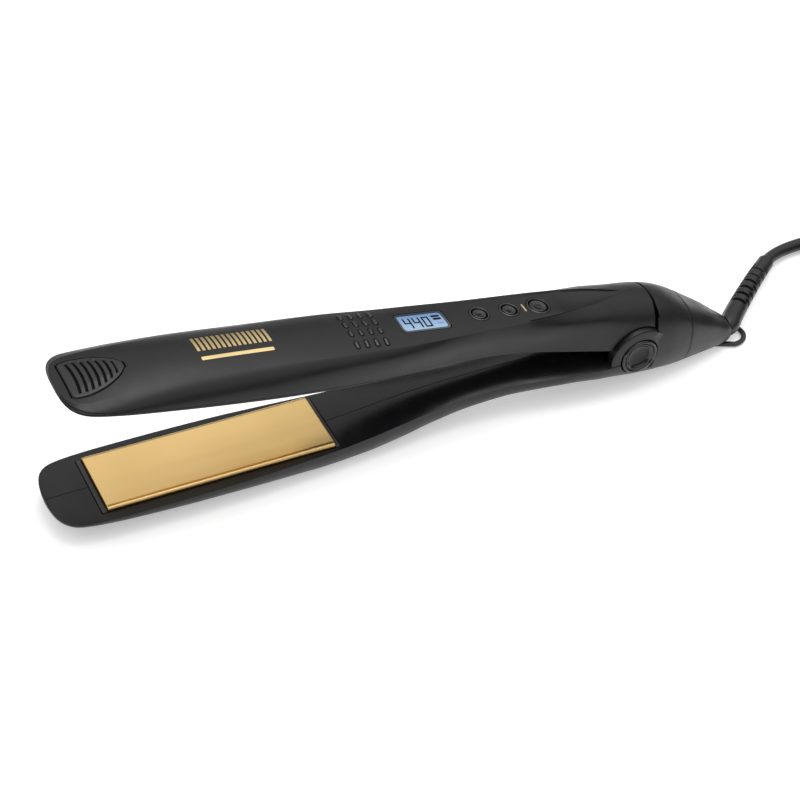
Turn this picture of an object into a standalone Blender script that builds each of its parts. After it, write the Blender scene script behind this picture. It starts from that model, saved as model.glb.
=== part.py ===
"""Flat iron (hair straightener) with a swivel cord, as an assembly of separate pieces.

All measures below are in millimetres and are turned into metres when a mesh is made. Two frames are
used. The arm frame has its origin at the middle of the lower plate's tip end, x towards the cord, z
along the lower plate's normal. The upper arm is drawn in the same frame with the iron closed, and its
pivot then opens it. The rest frame tilts the arm frame so that the iron lies on tip and tail.
"""
import math

import bmesh
import bpy
import numpy as np
from mathutils import Vector

MM = 0.001
GAP = 0.3                        # clearance between neighbouring pieces

# ---- driving dimensions ----
PLATE_LENGTH = 100.3             # four inches
PLATE_WIDTH = 31.75              # one and a quarter inches
PLATE_THICKNESS = 2.4
HEATER_THICKNESS = 1.2
CARRIER_FLOOR = 1.3
PLATE_GAP = 0.15                 # from the mating plane to each plate when the iron is closed
HINGE_X = 248.5
HINGE_Z = 1.8
OPEN_ANGLE = math.radians(11.5)
REST_TILT = math.radians(1.12)
REST_LIFT = 14.3                 # the arm frame's origin above the table
FRAME_SHIFT = -150.05           # brings the middle of the iron's length to x = 0
WALL = 2.2                       # thickness of the moulded shells
RING_X = 277.8                   # joint between the housing and the tail cap
BOSS_RADIUS = 14.3               # round cheeks of the lower arm that carry the hinge pin
BAY_HALF = 12.9                  # half width of the bay between the cheeks
CHEEK_FACE = 17.2
PIN_RADIUS = 2.5
COVER_RADIUS = 9.3
SWIVEL_X = 300.0
LOOP_LOW, LOOP_HIGH = -19.9, -18.1
SWIVEL_Z = -12.6
BUTTON_TRAVEL = 0.6
CORD_DIAMETER = 6.0

# ---- moulded outlines: a few stations along x, joined by smooth curves ----
# x, half width, rim height, crown height, base height
LOWER_STATIONS = [
    (-20.9, 4.0, -3.2, -3.1, -4.6),
    (-20.3, 9.0, -2.8, -2.6, -5.3),
    (-19.0, 13.2, -2.6, -2.4, -6.0),
    (-17.5, 15.6, -2.5, -2.3, -6.6),
    (-15.0, 17.8, -2.5, -2.3, -7.3),
    (-11.3, 19.2, -2.5, -2.2, -8.1),
    (-3.0, 20.2, -2.5, -2.2, -9.5),
    (10.0, 20.7, -2.5, -2.2, -11.3),
    (30.0, 20.8, -2.5, -2.2, -13.3),
    (58.0, 20.4, -2.5, -2.2, -15.1),
    (80.0, 19.3, -2.5, -2.2, -17.0),
    (100.0, 18.0, -2.5, -2.1, -18.5),
    (117.0, 16.6, -1.9, -0.6, -18.5),
    (134.0, 14.8, -0.9, 1.2, -16.9),
    (150.0, 13.0, -0.2, 2.4, -14.0),
    (168.0, 11.9, 0.0, 2.9, -11.4),
    (186.0, 12.2, 0.0, 3.0, -10.2),
    (201.0, 13.9, -0.1, 2.8, -10.2),
    (216.0, 16.0, -0.3, 2.4, -10.4),
    (233.0, 17.5, -0.5, 2.0, -12.6),
    (248.0, 17.5, -0.5, 2.0, -15.6),
    (264.0, 16.4, -0.5, 2.0, -18.6),
]
# x, half width, rim height, ridge half width, ridge height, top height, shoulder angle in degrees
UPPER_STATIONS = [
    (-20.9, 4.0, 2.9, 2.8, 4.1, 4.2, 30),
    (-20.3, 9.0, 2.6, 6.8, 4.2, 4.4, 30),
    (-19.0, 13.2, 2.5, 10.2, 4.4, 4.7, 30),
    (-17.5, 15.6, 2.5, 12.2, 4.6, 5.1, 30),
    (-15.0, 17.8, 2.5, 13.8, 4.9, 5.7, 28),
    (-11.3, 19.2, 2.5, 14.8, 5.4, 6.6, 26),
    (-3.0, 20.2, 2.5, 15.0, 6.8, 8.6, 24),
    (8.0, 20.7, 2.5, 14.5, 8.9, 11.1, 22),
    (30.0, 20.8, 2.5, 13.5, 12.0, 14.4, 22),
    (60.0, 20.3, 2.5, 13.2, 14.1, 16.5, 24),
    (98.0, 18.1, 2.6, 13.6, 16.1, 18.2, 30),
    (121.0, 16.0, 3.2, 13.0, 16.9, 18.8, 38),
    (139.0, 13.6, 4.0, 12.4, 17.8, 19.3, 52),
    (155.0, 11.6, 4.4, 11.4, 18.9, 19.8, 66),
    (170.0, 10.4, 4.6, 10.6, 20.0, 20.4, 72),
    (183.0, 10.0, 4.7, 10.2, 20.9, 21.1, 68),
    (196.0, 10.6, 4.7, 9.3, 22.1, 21.8, 50),
    (209.0, 12.0, 4.7, 7.8, 23.5, 22.6, 34),
    (223.0, 13.6, 4.7, 5.6, 24.8, 23.8, 20),
    (235.0, 15.0, 4.7, 2.2, 25.7, 25.4, 12),
    (241.0, 15.5, 4.7, 0.6, 26.0, 26.0, 8),
    (251.0, 16.0, 4.7, 0.6, 25.8, 25.8, 6),
    (264.0, 16.0, 4.7, 0.6, 24.6, 24.6, 6),
]
# x, half width, height of the widest line, top height, base height
TAIL_STATIONS = [
    (250.0, 17.3, 1.2, 24.6, -15.9),
    (258.0, 17.0, 0.6, 23.6, -17.8),
    (266.0, 16.5, -0.2, 21.0, -19.3),
    (272.0, 15.7, -1.0, 18.0, -19.9),
    (278.0, 14.6, -2.2, 14.3, -20.0),
    (286.0, 12.6, -4.4, 8.9, -20.0),
    (294.0, 10.5, -7.2, 3.4, -20.0),
    (301.0, 8.6, -9.8, -2.2, -19.8),
    (306.0, 7.2, -11.6, -6.0, -18.9),
    (308.2, 6.2, -12.4, -7.8, -17.9),
]


def clear_scene():
    for item in list(bpy.data.objects):
        bpy.data.objects.remove(item, do_unlink=True)


# ---------------------------------------------------------------------------------- small helpers
def smooth_table(rows):
    """Return a function of x that joins the rows' columns by monotone cubic curves."""
    table = np.array(rows, float)
    xs, values = table[:, 0], table[:, 1:]
    step = np.diff(xs)[:, None]
    slope = np.diff(values, axis=0) / step
    tangent = np.zeros_like(values)
    tangent[0], tangent[-1] = slope[0], slope[-1]
    for i in range(1, len(xs) - 1):
        before, after = slope[i - 1], slope[i]
        w_before = 2 * step[i] + step[i - 1]
        w_after = step[i] + 2 * step[i - 1]
        same = before * after > 0
        safe_before = np.where(same, before, 1.0)
        safe_after = np.where(same, after, 1.0)
        mean = (w_before + w_after) / (w_before / safe_before + w_after / safe_after)
        tangent[i] = np.where(same, mean, 0.0)

    def at(x):
        x = min(max(x, xs[0]), xs[-1])
        i = min(int(np.searchsorted(xs, x, side="right")) - 1, len(xs) - 2)
        h = xs[i + 1] - xs[i]
        t = (x - xs[i]) / h
        return ((1 + 2 * t) * (1 - t) ** 2 * values[i] + t * (1 - t) ** 2 * h * tangent[i]
                + t * t * (3 - 2 * t) * values[i + 1] + t * t * (t - 1) * h * tangent[i + 1])

    return at


def spread(low, high, count):
    return [low + (high - low) * i / (count - 1) for i in range(count)]


MATERIALS = {}


def material(name, colour, roughness, metallic=0.0):
    if name not in MATERIALS:
        made = bpy.data.materials.new(name)
        made.use_nodes = True
        shader = made.node_tree.nodes["Principled BSDF"]
        shader.inputs["Base Color"].default_value = (*colour, 1.0)
        shader.inputs["Roughness"].default_value = roughness
        shader.inputs["Metallic"].default_value = metallic
        MATERIALS[name] = made
    return MATERIALS[name]


def soft_black():
    return material("soft_black", (0.035, 0.035, 0.037), 0.5)


def gloss_black():
    return material("gloss_black", (0.012, 0.012, 0.013), 0.12)


def gold():
    return material("gold_plate", (0.76, 0.52, 0.2), 0.22, 1.0)


def heat_plastic():
    return material("heat_plastic", (0.02, 0.02, 0.02), 0.6)


def ceramic():
    return material("ceramic", (0.8, 0.78, 0.72), 0.5)


def silicone():
    return material("silicone", (0.55, 0.12, 0.08), 0.6)


def steel():
    return material("steel", (0.6, 0.6, 0.62), 0.3, 1.0)


def board_green():
    return material("board_green", (0.03, 0.2, 0.08), 0.4)


def screen_blue():
    return material("screen_blue", (0.2, 0.5, 0.9), 0.3)


def clear_lens():
    return material("clear_lens", (0.1, 0.16, 0.3), 0.05)


def rubber():
    return material("rubber", (0.03, 0.03, 0.03), 0.7)


def brass():
    return material("brass", (0.75, 0.6, 0.3), 0.3, 1.0)


class Frame:
    """An empty and the point, in the arm frame, where that empty stands."""

    def __init__(self, name, origin, parent=None, rotation=(0.0, 0.0, 0.0)):
        self.origin = Vector(origin)
        self.empty = bpy.data.objects.new(name, None)
        self.empty.empty_display_size = 0.02
        bpy.context.scene.collection.objects.link(self.empty)
        self.empty.rotation_euler = rotation
        if parent:
            self.empty.parent = parent.empty
            self.empty.location = (self.origin - parent.origin) * MM
        else:
            self.empty.location = self.origin * MM


def add_object(name, data, frame, finish, origin, is_cutter):
    item = bpy.data.objects.new(name, data)
    bpy.context.scene.collection.objects.link(item)
    item.parent = frame.empty
    item.location = (Vector(origin) - frame.origin) * MM
    if finish:
        data.materials.append(finish)
    if is_cutter:
        item.hide_render = True
        item.display_type = "WIRE"
    return item


def add_mesh(name, points, faces, frame, finish=None, origin=None, is_cutter=False):
    """Make an object from points in the arm frame, with its own origin at the given point."""
    origin = Vector(origin) if origin is not None else frame.origin
    mesh = bpy.data.meshes.new(name)
    mesh.from_pydata([(Vector(p) - origin) * MM for p in points], [], faces)
    work = bmesh.new()
    work.from_mesh(mesh)
    bmesh.ops.recalc_face_normals(work, faces=work.faces)
    work.to_mesh(mesh)
    work.free()
    mesh.shade_smooth()
    mesh.set_sharp_from_angle(angle=math.radians(35))
    return add_object(name, mesh, frame, finish, origin, is_cutter)


def loft(name, xs, section, frame, finish=None, is_cutter=False):
    """Join closed (y, z) rings at the given x positions and close both ends."""
    rings = [[(x, y, z) for y, z in section(x)] for x in xs]
    size = len(rings[0])
    points = [p for ring in rings for p in ring]
    faces = [tuple(range(size)), tuple(range(len(points) - size, len(points)))]
    for i in range(len(rings) - 1):
        for j in range(size):
            k = (j + 1) % size
            faces.append((i * size + j, i * size + k, (i + 1) * size + k, (i + 1) * size + j))
    return add_mesh(name, points, faces, frame, finish, None, is_cutter)


def block(name, low, high, frame, finish=None, bevel=0.0, is_cutter=False):
    """A box between two corners, with its edges bevelled when a width is given."""
    corners = [(x, y, z) for x in (low[0], high[0]) for y in (low[1], high[1]) for z in (low[2], high[2])]
    faces = [(0, 1, 3, 2), (4, 6, 7, 5), (0, 4, 5, 1), (2, 3, 7, 6), (0, 2, 6, 4), (1, 5, 7, 3)]
    middle = (Vector(low) + Vector(high)) / 2
    item = add_mesh(name, corners, faces, frame, finish, middle, is_cutter)
    if bevel:
        soften = item.modifiers.new("bevel", "BEVEL")
        soften.width = bevel * MM
        soften.segments = 2
    return item


def turned(name, centre, axis, profile, frame, finish=None, steps=24, closed=False, is_cutter=False):
    """Turn a profile of (radius, height along the axis); a closed profile makes a ring."""
    axis = Vector(axis).normalized()
    side = axis.orthogonal().normalized()
    other = axis.cross(side)
    points, rows = [], []
    for radius, height in profile:
        if radius == 0:
            rows.append([len(points)])
            points.append(Vector(centre) + axis * height)
            continue
        rows.append(list(range(len(points), len(points) + steps)))
        for k in range(steps):
            angle = 2 * math.pi * k / steps
            spoke = side * math.cos(angle) + other * math.sin(angle)
            points.append(Vector(centre) + axis * height + spoke * radius)
    faces = []
    pairs = list(zip(rows, rows[1:])) + ([(rows[-1], rows[0])] if closed else [])
    for low, high in pairs:
        for k in range(steps):
            n = (k + 1) % steps
            if len(low) == 1:
                faces.append((low[0], high[n], high[k]))
            elif len(high) == 1:
                faces.append((low[k], low[n], high[0]))
            else:
                faces.append((low[k], low[n], high[n], high[k]))
    if not closed:
        for row in (rows[0], rows[-1]):
            if len(row) > 1:
                faces.append(tuple(row))
    return add_mesh(name, points, faces, frame, finish, centre, is_cutter)


def rod(name, start, end, radius, frame, finish=None, steps=20, is_cutter=False):
    start, end = Vector(start), Vector(end)
    profile = [(radius, 0.0), (radius, (end - start).length)]
    return turned(name, start, end - start, profile, frame, finish, steps, False, is_cutter)


def plan_slab(name, outline, low, high, frame, finish=None, is_cutter=False):
    """Raise a closed (x, y) outline from one height to another."""
    size = len(outline)
    points = [(x, y, low) for x, y in outline] + [(x, y, high) for x, y in outline]
    faces = [tuple(range(size)), tuple(range(size, 2 * size))]
    for j in range(size):
        k = (j + 1) % size
        faces.append((j, k, size + k, size + j))
    return add_mesh(name, points, faces, frame, finish, None, is_cutter)


def pipe(name, points, radius, frame, finish, sides=8, cyclic=False):
    """A round tube along points of the arm frame, as a bevelled curve with closed ends."""
    data = bpy.data.curves.new(name, "CURVE")
    data.dimensions = "3D"
    data.bevel_depth = radius * MM
    data.bevel_resolution = sides // 2 - 2
    data.use_fill_caps = True
    spline = data.splines.new("POLY")
    spline.points.add(len(points) - 1)
    for slot, point in zip(spline.points, points):
        slot.co = (*((Vector(point) - frame.origin) * MM), 1.0)
    spline.use_cyclic_u = cyclic
    return add_object(name, data, frame, finish, frame.origin, False)


def combine(item, other, operation="DIFFERENCE"):
    """Cut, join or intersect with another object, which is then left out of the model."""
    change = item.modifiers.new(other.name, "BOOLEAN")
    change.operation = operation
    change.object = other
    change.solver = "EXACT"
    other.hide_render = True
    other.display_type = "WIRE"
    return item


def ellipse_arc(half, reach, exponent, count):
    """A quarter of a superellipse, from (0, reach) on the axis to (half, 0) at the side."""
    arc = []
    for i in range(count):
        angle = math.pi / 2 * i / (count - 1)
        across = half * math.sin(angle) ** (2 / exponent)
        along = reach * max(math.cos(angle), 0.0) ** (2 / exponent)
        arc.append((across, along))
    return arc


def bezier(p0, p1, p2, p3, count):
    curve = []
    for i in range(count):
        t = i / (count - 1)
        w = ((1 - t) ** 3, 3 * t * (1 - t) ** 2, 3 * t * t * (1 - t), t ** 3)
        curve.append(tuple(sum(k * p[c] for k, p in zip(w, (p0, p1, p2, p3))) for c in (0, 1)))
    return curve


def both_sides(half_ring):
    """Mirror a half ring that runs from the middle line round the side and back to it."""
    return half_ring + [(-y, z) for y, z in reversed(half_ring[1:-1])]


lower_at = smooth_table(LOWER_STATIONS)
upper_at = smooth_table(UPPER_STATIONS)
tail_at = smooth_table(TAIL_STATIONS)


def lower_ring(x, inset=0.0):
    half, rim, crown, base = lower_at(x)
    half, rim, crown, base = half - inset, rim - inset, crown - inset, base + inset
    under = [(y, rim + z) for y, z in ellipse_arc(half, base - rim, 2.3, 9)]
    over = [(y, crown - (crown - rim) * (y / half) ** 2) for y in spread(half, 0.0, 5)]
    return both_sides(under + over[1:])


def upper_ring(x, inset=0.0, floor=None):
    """Section of the upper arm; with a floor, its open underside is carried down to that height."""
    half, rim, ridge, ridge_z, top, shoulder = upper_at(x)
    lean = math.radians(shoulder)
    reach = 0.42 * math.hypot(half - ridge, ridge_z - rim)
    near_ridge = (ridge + reach * math.cos(lean), ridge_z - reach * math.sin(lean))
    fullness = 0.45 + 0.3 * min(max((x - 185.0) / 40.0, 0.0), 1.0)
    side = bezier((half, rim), (half, rim + fullness * (ridge_z - rim)), near_ridge, (ridge, ridge_z), 8)
    crown = [(y, top - (top - ridge_z) * (y / ridge) ** 2) for y in spread(ridge, 0.0, 5)]
    outline = side + crown[1:]
    if inset:
        outline = [(y * (half - inset) / half, z - inset) for y, z in outline]
    bottom = rim if floor is None else floor
    start = [(0.0, bottom)] if floor is None else [(0.0, bottom), (outline[0][0], bottom)]
    return both_sides(start + outline)


def tail_ring(x, inset=0.0):
    half, middle, top, base = tail_at(x)
    half, top, base = half - inset, top - inset, base + inset
    under = [(y, middle + z) for y, z in ellipse_arc(half, base - middle, 2.15, 9)]
    over = [(y, middle + z) for y, z in ellipse_arc(half, top - middle, 2.6, 9)]
    return both_sides(under + over[::-1][1:])


TIP_XS = [-20.9, -20.3, -19.0, -17.5, -15.0, -11.3, -7.0]


# ------------------------------------------------------------------------------------- lower arm
def lower_shells(rest):
    """Near and far half of the lower arm, handle and hinge housing, split on the middle plane."""
    for side, sign in (("near", -1), ("far", 1)):
        arm_xs = TIP_XS + spread(0.0, 100.0, 7) + spread(112.0, 262.0, 14)
        shell = loft(f"lower_shell_{side}", arm_xs, lower_ring, rest, soft_black())
        tail = loft(f"tail_form_{side}", spread(251.0, RING_X - GAP / 2, 5), tail_ring, rest)
        combine(tail, groove_space(f"tail_front_{side}", rest, -1, 0.4))
        combine(shell, tail, "UNION")
        cheek = rod(f"cheek_form_{side}", (HINGE_X, sign * 11.0, HINGE_Z),
                    (HINGE_X, sign * CHEEK_FACE, HINGE_Z), BOSS_RADIUS, rest, steps=40)
        combine(cheek, block(f"cheek_limit_{side}", (220.0, -30.0, -2.0), (280.0, 30.0, 30.0), rest),
                "INTERSECT")
        combine(shell, cheek, "UNION")
        hollow_xs = [-8.0, -4.0] + spread(2.0, 100.0, 5) + spread(112.0, 248.0, 10)
        combine(shell, loft(f"hollow_form_{side}", hollow_xs, lambda x: lower_ring(x, WALL), rest))
        tail_hollow = loft(f"tail_hollow_{side}", spread(246.0, RING_X + 1.0, 5),
                           lambda x: tail_ring(x, WALL + 0.3), rest)
        combine(tail_hollow, block(f"tail_hollow_limit_{side}", (236.0, -13.0, -15.5),
                                   (RING_X + 2.0, 13.0, 30.0), rest), "INTERSECT")
        combine(shell, tail_hollow)
        combine(shell, block(f"bay_form_{side}", (233.5, -BAY_HALF, -9.5), (258.8, BAY_HALF, 30.0), rest))
        half = PLATE_WIDTH / 2 + GAP
        combine(shell, block(f"plate_opening_{side}", (-2.6, -half, -5.6), (PLATE_LENGTH + 2.6, half, 1.0), rest))
        combine(shell, rod(f"pin_bore_{side}", (HINGE_X, -20.0, HINGE_Z), (HINGE_X, 20.0, HINGE_Z),
                           PIN_RADIUS + GAP, rest))
        combine(shell, rod(f"cover_pocket_{side}", (HINGE_X, sign * 15.0, HINGE_Z),
                           (HINGE_X, sign * 22.0, HINGE_Z), COVER_RADIUS + GAP, rest, steps=40))
        edges = sorted((sign * GAP / 2, sign * 40.0))
        combine(shell, block(f"half_form_{side}", (-30.0, edges[0], -40.0), (320.0, edges[1], 40.0), rest),
                "INTERSECT")
        combine(shell, block(f"rest_pad_form_{side}", (-200.0, -40.0, -10.0), (200.0, 40.0, 0.0), TABLE))


def groove_space(name, rest, toward, offset):
    """Space in front of (-1) or behind (+1) the curved groove that parts the upper arm from the tail."""
    far_x = 200.0 if toward < 0 else 320.0
    wall = [(258.6 - 2.6 * (y / 16.0) ** 2 + offset, y) for y in spread(-24.0, 24.0, 13)]
    outline = wall + [(far_x, 24.0), (far_x, -24.0)]
    return plan_slab(name, outline, -2.0 if toward < 0 else -30.0, 45.0, rest, is_cutter=True)


def plate_set(arm, frame, sign):
    """Plate, ceramic heater, heater carrier and two silicone cushions; sign is +1 for the upper arm."""
    def span(near, far):
        return sorted((sign * near, sign * far))

    half = PLATE_WIDTH / 2
    plate_back = PLATE_GAP + PLATE_THICKNESS
    low, high = span(PLATE_GAP, plate_back)
    block(f"{arm}_plate", (0.0, -half, low), (PLATE_LENGTH, half, high), frame, gold(), bevel=0.5)
    low, high = span(plate_back + GAP, plate_back + GAP + HEATER_THICKNESS)
    block(f"{arm}_heater", (12.0, -9.0, low), (PLATE_LENGTH - 12.0, 9.0, high), frame, ceramic())
    floor = plate_back + 2 * GAP + HEATER_THICKNESS
    low, high = span(floor, floor + CARRIER_FLOOR)
    carrier = block(f"{arm}_heater_carrier", (6.0, -14.0, low), (PLATE_LENGTH + 2.2, 14.0, high), frame,
                    heat_plastic())
    for name, y0, y1 in (("near", -14.0, -12.6), ("far", 12.6, 14.0)):
        for part, inset, far in (("wall", -2.2, floor - 0.2), ("rib", 5.0, floor + 0.5)):
            low, high = span(plate_back + GAP, far)
            combine(carrier, block(f"{arm}_carrier_{part}_{name}", (inset, y0, low),
                                   (PLATE_LENGTH - inset, y1, high), frame), "UNION")
    for name, x0, x1 in (("tip", -2.2, -GAP), ("rear", PLATE_LENGTH + GAP, PLATE_LENGTH + 2.2)):
        for level, reach, near, far in (("foot", 13.0, 2.9, floor - 0.2), ("lip", half, 2.1, 3.35)):
            low, high = span(near, far)
            end = block(f"{arm}_carrier_{level}_{name}", (x0, -reach, low), (x1, reach, high), frame)
            combine(carrier, end, "UNION")
    for name, x, reach in (("front", 24.0, 2.4), ("rear", 80.0, 5.0)):
        start = floor + CARRIER_FLOOR + GAP
        rod(f"{arm}_cushion_{name}", (x, 0.0, sign * start), (x, 0.0, sign * (start + reach)), 4.0, frame,
            silicone(), steps=16)


def hinge_parts(rest):
    """Pin, washers, opening spring and the two round covers."""
    rod("hinge_pin", (HINGE_X, -14.7, HINGE_Z), (HINGE_X, 14.7, HINGE_Z), PIN_RADIUS, rest, steel())
    cover = [(0.0, 0.0), (COVER_RADIUS, 0.0), (COVER_RADIUS, 1.9), (8.7, 2.6), (7.3, 2.6), (6.6, 2.0),
             (6.2, 1.5), (0.0, 1.3)]
    for side, sign in (("near", -1), ("far", 1)):
        turned(f"hinge_cover_{side}", (HINGE_X, sign * 15.3, HINGE_Z), (0, sign, 0), cover, rest,
               soft_black(), steps=40)
        washer = [(PIN_RADIUS + GAP, 0.0), (6.0, 0.0), (6.0, 1.1), (PIN_RADIUS + GAP, 1.1)]
        turned(f"hinge_washer_{side}", (HINGE_X, sign * 11.5, HINGE_Z), (0, sign, 0), washer, rest,
               material("nylon", (0.8, 0.8, 0.78), 0.4), steps=24, closed=True)


def tail_cap(rest):
    """End cap behind the ring joint, with the hole for the swivel."""
    start = RING_X + GAP / 2
    cap = loft("tail_cap", spread(start, 302.0, 6) + [304.5, 306.5, 308.2], tail_ring, rest, soft_black())
    combine(cap, loft("cap_hollow", [start - 1.0] + spread(282.0, 304.0, 5), lambda x: tail_ring(x, WALL), rest))
    combine(cap, rod("swivel_bore", (300.0, 0.0, SWIVEL_Z), (312.0, 0.0, SWIVEL_Z), 3.8 + GAP, rest, steps=24))
    combine(cap, plan_slab("loop_recess", loop_tab(GAP), -25.0, LOOP_HIGH + GAP, rest))
    combine(cap, block("cap_rest_form", (0.0, -40.0, -10.0), (200.0, 40.0, 0.0), TABLE))


def loop_tab(margin):
    """Outline of the tab that holds the hang loop in the cap's underside."""
    half, wide = 4.1 + margin, 9.2 + margin
    return [(293.3 - margin, -half), (302.0, -half), (312.0, -wide), (312.0, wide), (302.0, half),
            (293.3 - margin, half)]


def hang_loop(rest):
    """Flat loop that starts under the cap and ends in a round eye."""
    eye_x, outer, width = 312.2, 7.8, 2.3
    outline, hole = [], []
    for k in range(17):
        angle = math.radians(-100.0 + 200.0 * k / 16)
        outline.append((eye_x + (outer + 0.6) * math.cos(angle), outer * math.sin(angle)))
        hole.append((eye_x + (outer + 0.6 - width) * math.cos(angle), (outer - width) * math.sin(angle)))
    outline += [(302.0, 4.1), (293.3, 4.1), (293.3, -4.1), (302.0, -4.1)]
    hole += [(307.6, 3.6), (307.6, -3.6)]
    loop = plan_slab("hang_loop", outline, LOOP_LOW, LOOP_HIGH, rest, soft_black())
    combine(loop, plan_slab("loop_eye", hole, -25.0, -10.0, rest))


def smooth_path(knots, per_span):
    """Points on a Catmull-Rom curve through the knots."""
    knots = [Vector(k) for k in knots]
    ends = [2 * knots[0] - knots[1]] + knots + [2 * knots[-1] - knots[-2]]
    points = []
    for i in range(1, len(ends) - 2):
        p0, p1, p2, p3 = ends[i - 1:i + 3]
        for k in range(per_span):
            t = k / per_span
            points.append(0.5 * (2 * p1 + (p2 - p0) * t + (2 * p0 - 5 * p1 + 4 * p2 - p3) * t ** 2
                                 + (3 * p1 - p0 - 3 * p2 + p3) * t ** 3))
    return points + [knots[-1]]


RELIEF_KNOTS = [(308.7, 0.0, -12.6), (310.1, 0.1, -12.6), (312.4, 1.5, -12.6), (315.8, 4.5, -12.7),
                (321.4, 9.2, -12.9), (333.0, 18.4, -13.4), (344.5, 27.3, -14.2), (356.5, 36.0, -15.0)]


def tube_along(name, path, radii, frame, finish, sides=12):
    """A closed tube of changing radius along a path that lies nearly level."""
    points, faces = [], []
    for i, centre in enumerate(path):
        ahead = (path[min(i + 1, len(path) - 1)] - path[max(i - 1, 0)]).normalized()
        across = ahead.cross(Vector((0, 0, 1))).normalized()
        up = across.cross(ahead)
        for k in range(sides):
            angle = 2 * math.pi * k / sides
            points.append(centre + (across * math.cos(angle) + up * math.sin(angle)) * radii[i])
    for i in range(len(path) - 1):
        for k in range(sides):
            n = (k + 1) % sides
            faces.append((i * sides + k, i * sides + n, (i + 1) * sides + n, (i + 1) * sides + k))
    faces += [tuple(range(sides)), tuple(range(len(points) - sides, len(points)))]
    return add_mesh(name, points, faces, frame, finish)


def swivel_parts(swivel):
    """Collar that turns in the cap's nose, and the ribbed strain relief that it carries."""
    collar = [(0.0, 0.0), (4.8, 0.0), (4.8, 2.4), (3.8, 2.6), (3.8, 9.6), (0.0, 9.6)]
    turned("swivel_collar", (298.7, 0.0, SWIVEL_Z), (1, 0, 0), collar, swivel,
           material("nylon", (0.8, 0.8, 0.78), 0.4), steps=24)
    path = smooth_path(RELIEF_KNOTS, 3)
    radii = [5.0 - i / (len(path) - 1) for i in range(len(path))]
    tube_along("strain_relief", path, radii, swivel, rubber())


# ------------------------------------------------------------------------------------- upper arm
def upper_surface(x, y):
    """Height of the upper arm's top face at a point inside its ridges."""
    ridge, ridge_z, top = upper_at(x)[2:5]
    return top - (top - ridge_z) * min(abs(y) / ridge, 1.0) ** 2


def top_normal(x):
    slope = (upper_surface(x + 2.0, 0.0) - upper_surface(x - 2.0, 0.0)) / 4.0
    return Vector((-slope, 0.0, 1.0)).normalized()


def thumb_ring(x, margin, low, high):
    """Section of the thumb rest: a thin layer that follows the top face."""
    half = thumb_at(x)[0] + margin
    across = spread(-half, half, 7)
    over = [(y, upper_surface(x, y) + high) for y in across]
    under = [(y, upper_surface(x, y) + low) for y in reversed(across)]
    return over + under


THUMB_STATIONS = [(-16.6, 9.4), (-15.0, 10.6), (-11.0, 10.8), (-5.0, 9.6), (1.0, 6.9), (5.0, 3.8), (7.0, 1.0)]
thumb_at = smooth_table(THUMB_STATIONS)

BUTTONS = [("minus", 167.4, 3.4), ("plus", 182.3, 3.4), ("power", 197.0, 4.2)]
SCREEN_X = 139.5
SCREEN_HALF = (11.6, 6.0)
UPPER_RIM = 3.7                   # underside of the upper shell
FRAME_END = 133.0                 # rear end of the upper plate frame


def upper_shell(rest, upper):
    xs = TIP_XS + spread(0.0, 98.0, 7) + spread(110.0, 262.0, 16)
    shell = loft("upper_shell", xs, upper_ring, upper, soft_black())
    combine(shell, block("upper_rim_form", (-40.0, -40.0, -10.0), (300.0, 40.0, UPPER_RIM), upper))
    hollow_xs = [-16.5, -13.0, -8.0] + spread(0.0, 98.0, 5) + spread(110.0, 250.0, 12)
    combine(shell, loft("upper_hollow", hollow_xs, lambda x: upper_ring(x, WALL, -3.0), upper))
    combine(shell, groove_space("upper_rear_form", rest, 1, -0.4))
    combine(shell, rod("boss_space", (HINGE_X, -30.0, HINGE_Z), (HINGE_X, 30.0, HINGE_Z),
                       BOSS_RADIUS + 0.6, upper, steps=48))
    half_x, half_y = SCREEN_HALF
    combine(shell, block("screen_opening", (SCREEN_X - half_x - GAP, -half_y - GAP, 12.0),
                         (SCREEN_X + half_x + GAP, half_y + GAP, 26.0), upper))
    for name, x, radius in BUTTONS:
        top = Vector((x, 0.0, upper_surface(x, 0.0)))
        normal = top_normal(x)
        combine(shell, rod(f"{name}_opening", top - normal * 6.0, top + normal * 6.0, radius + 1.3 + GAP, upper,
                           steps=24))
    front, rear = THUMB_STATIONS[0][0], THUMB_STATIONS[-1][0]
    thumb_xs = spread(front, rear, 9)
    combine(shell, loft("thumb_recess", [front - GAP] + thumb_xs[1:-1] + [rear + GAP],
                        lambda x: thumb_ring(x, GAP, -0.8 - GAP, 3.0), upper))
    loft("thumb_rest", thumb_xs, lambda x: thumb_ring(x, 0.0, -0.8, 0.45), upper, rubber())


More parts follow.
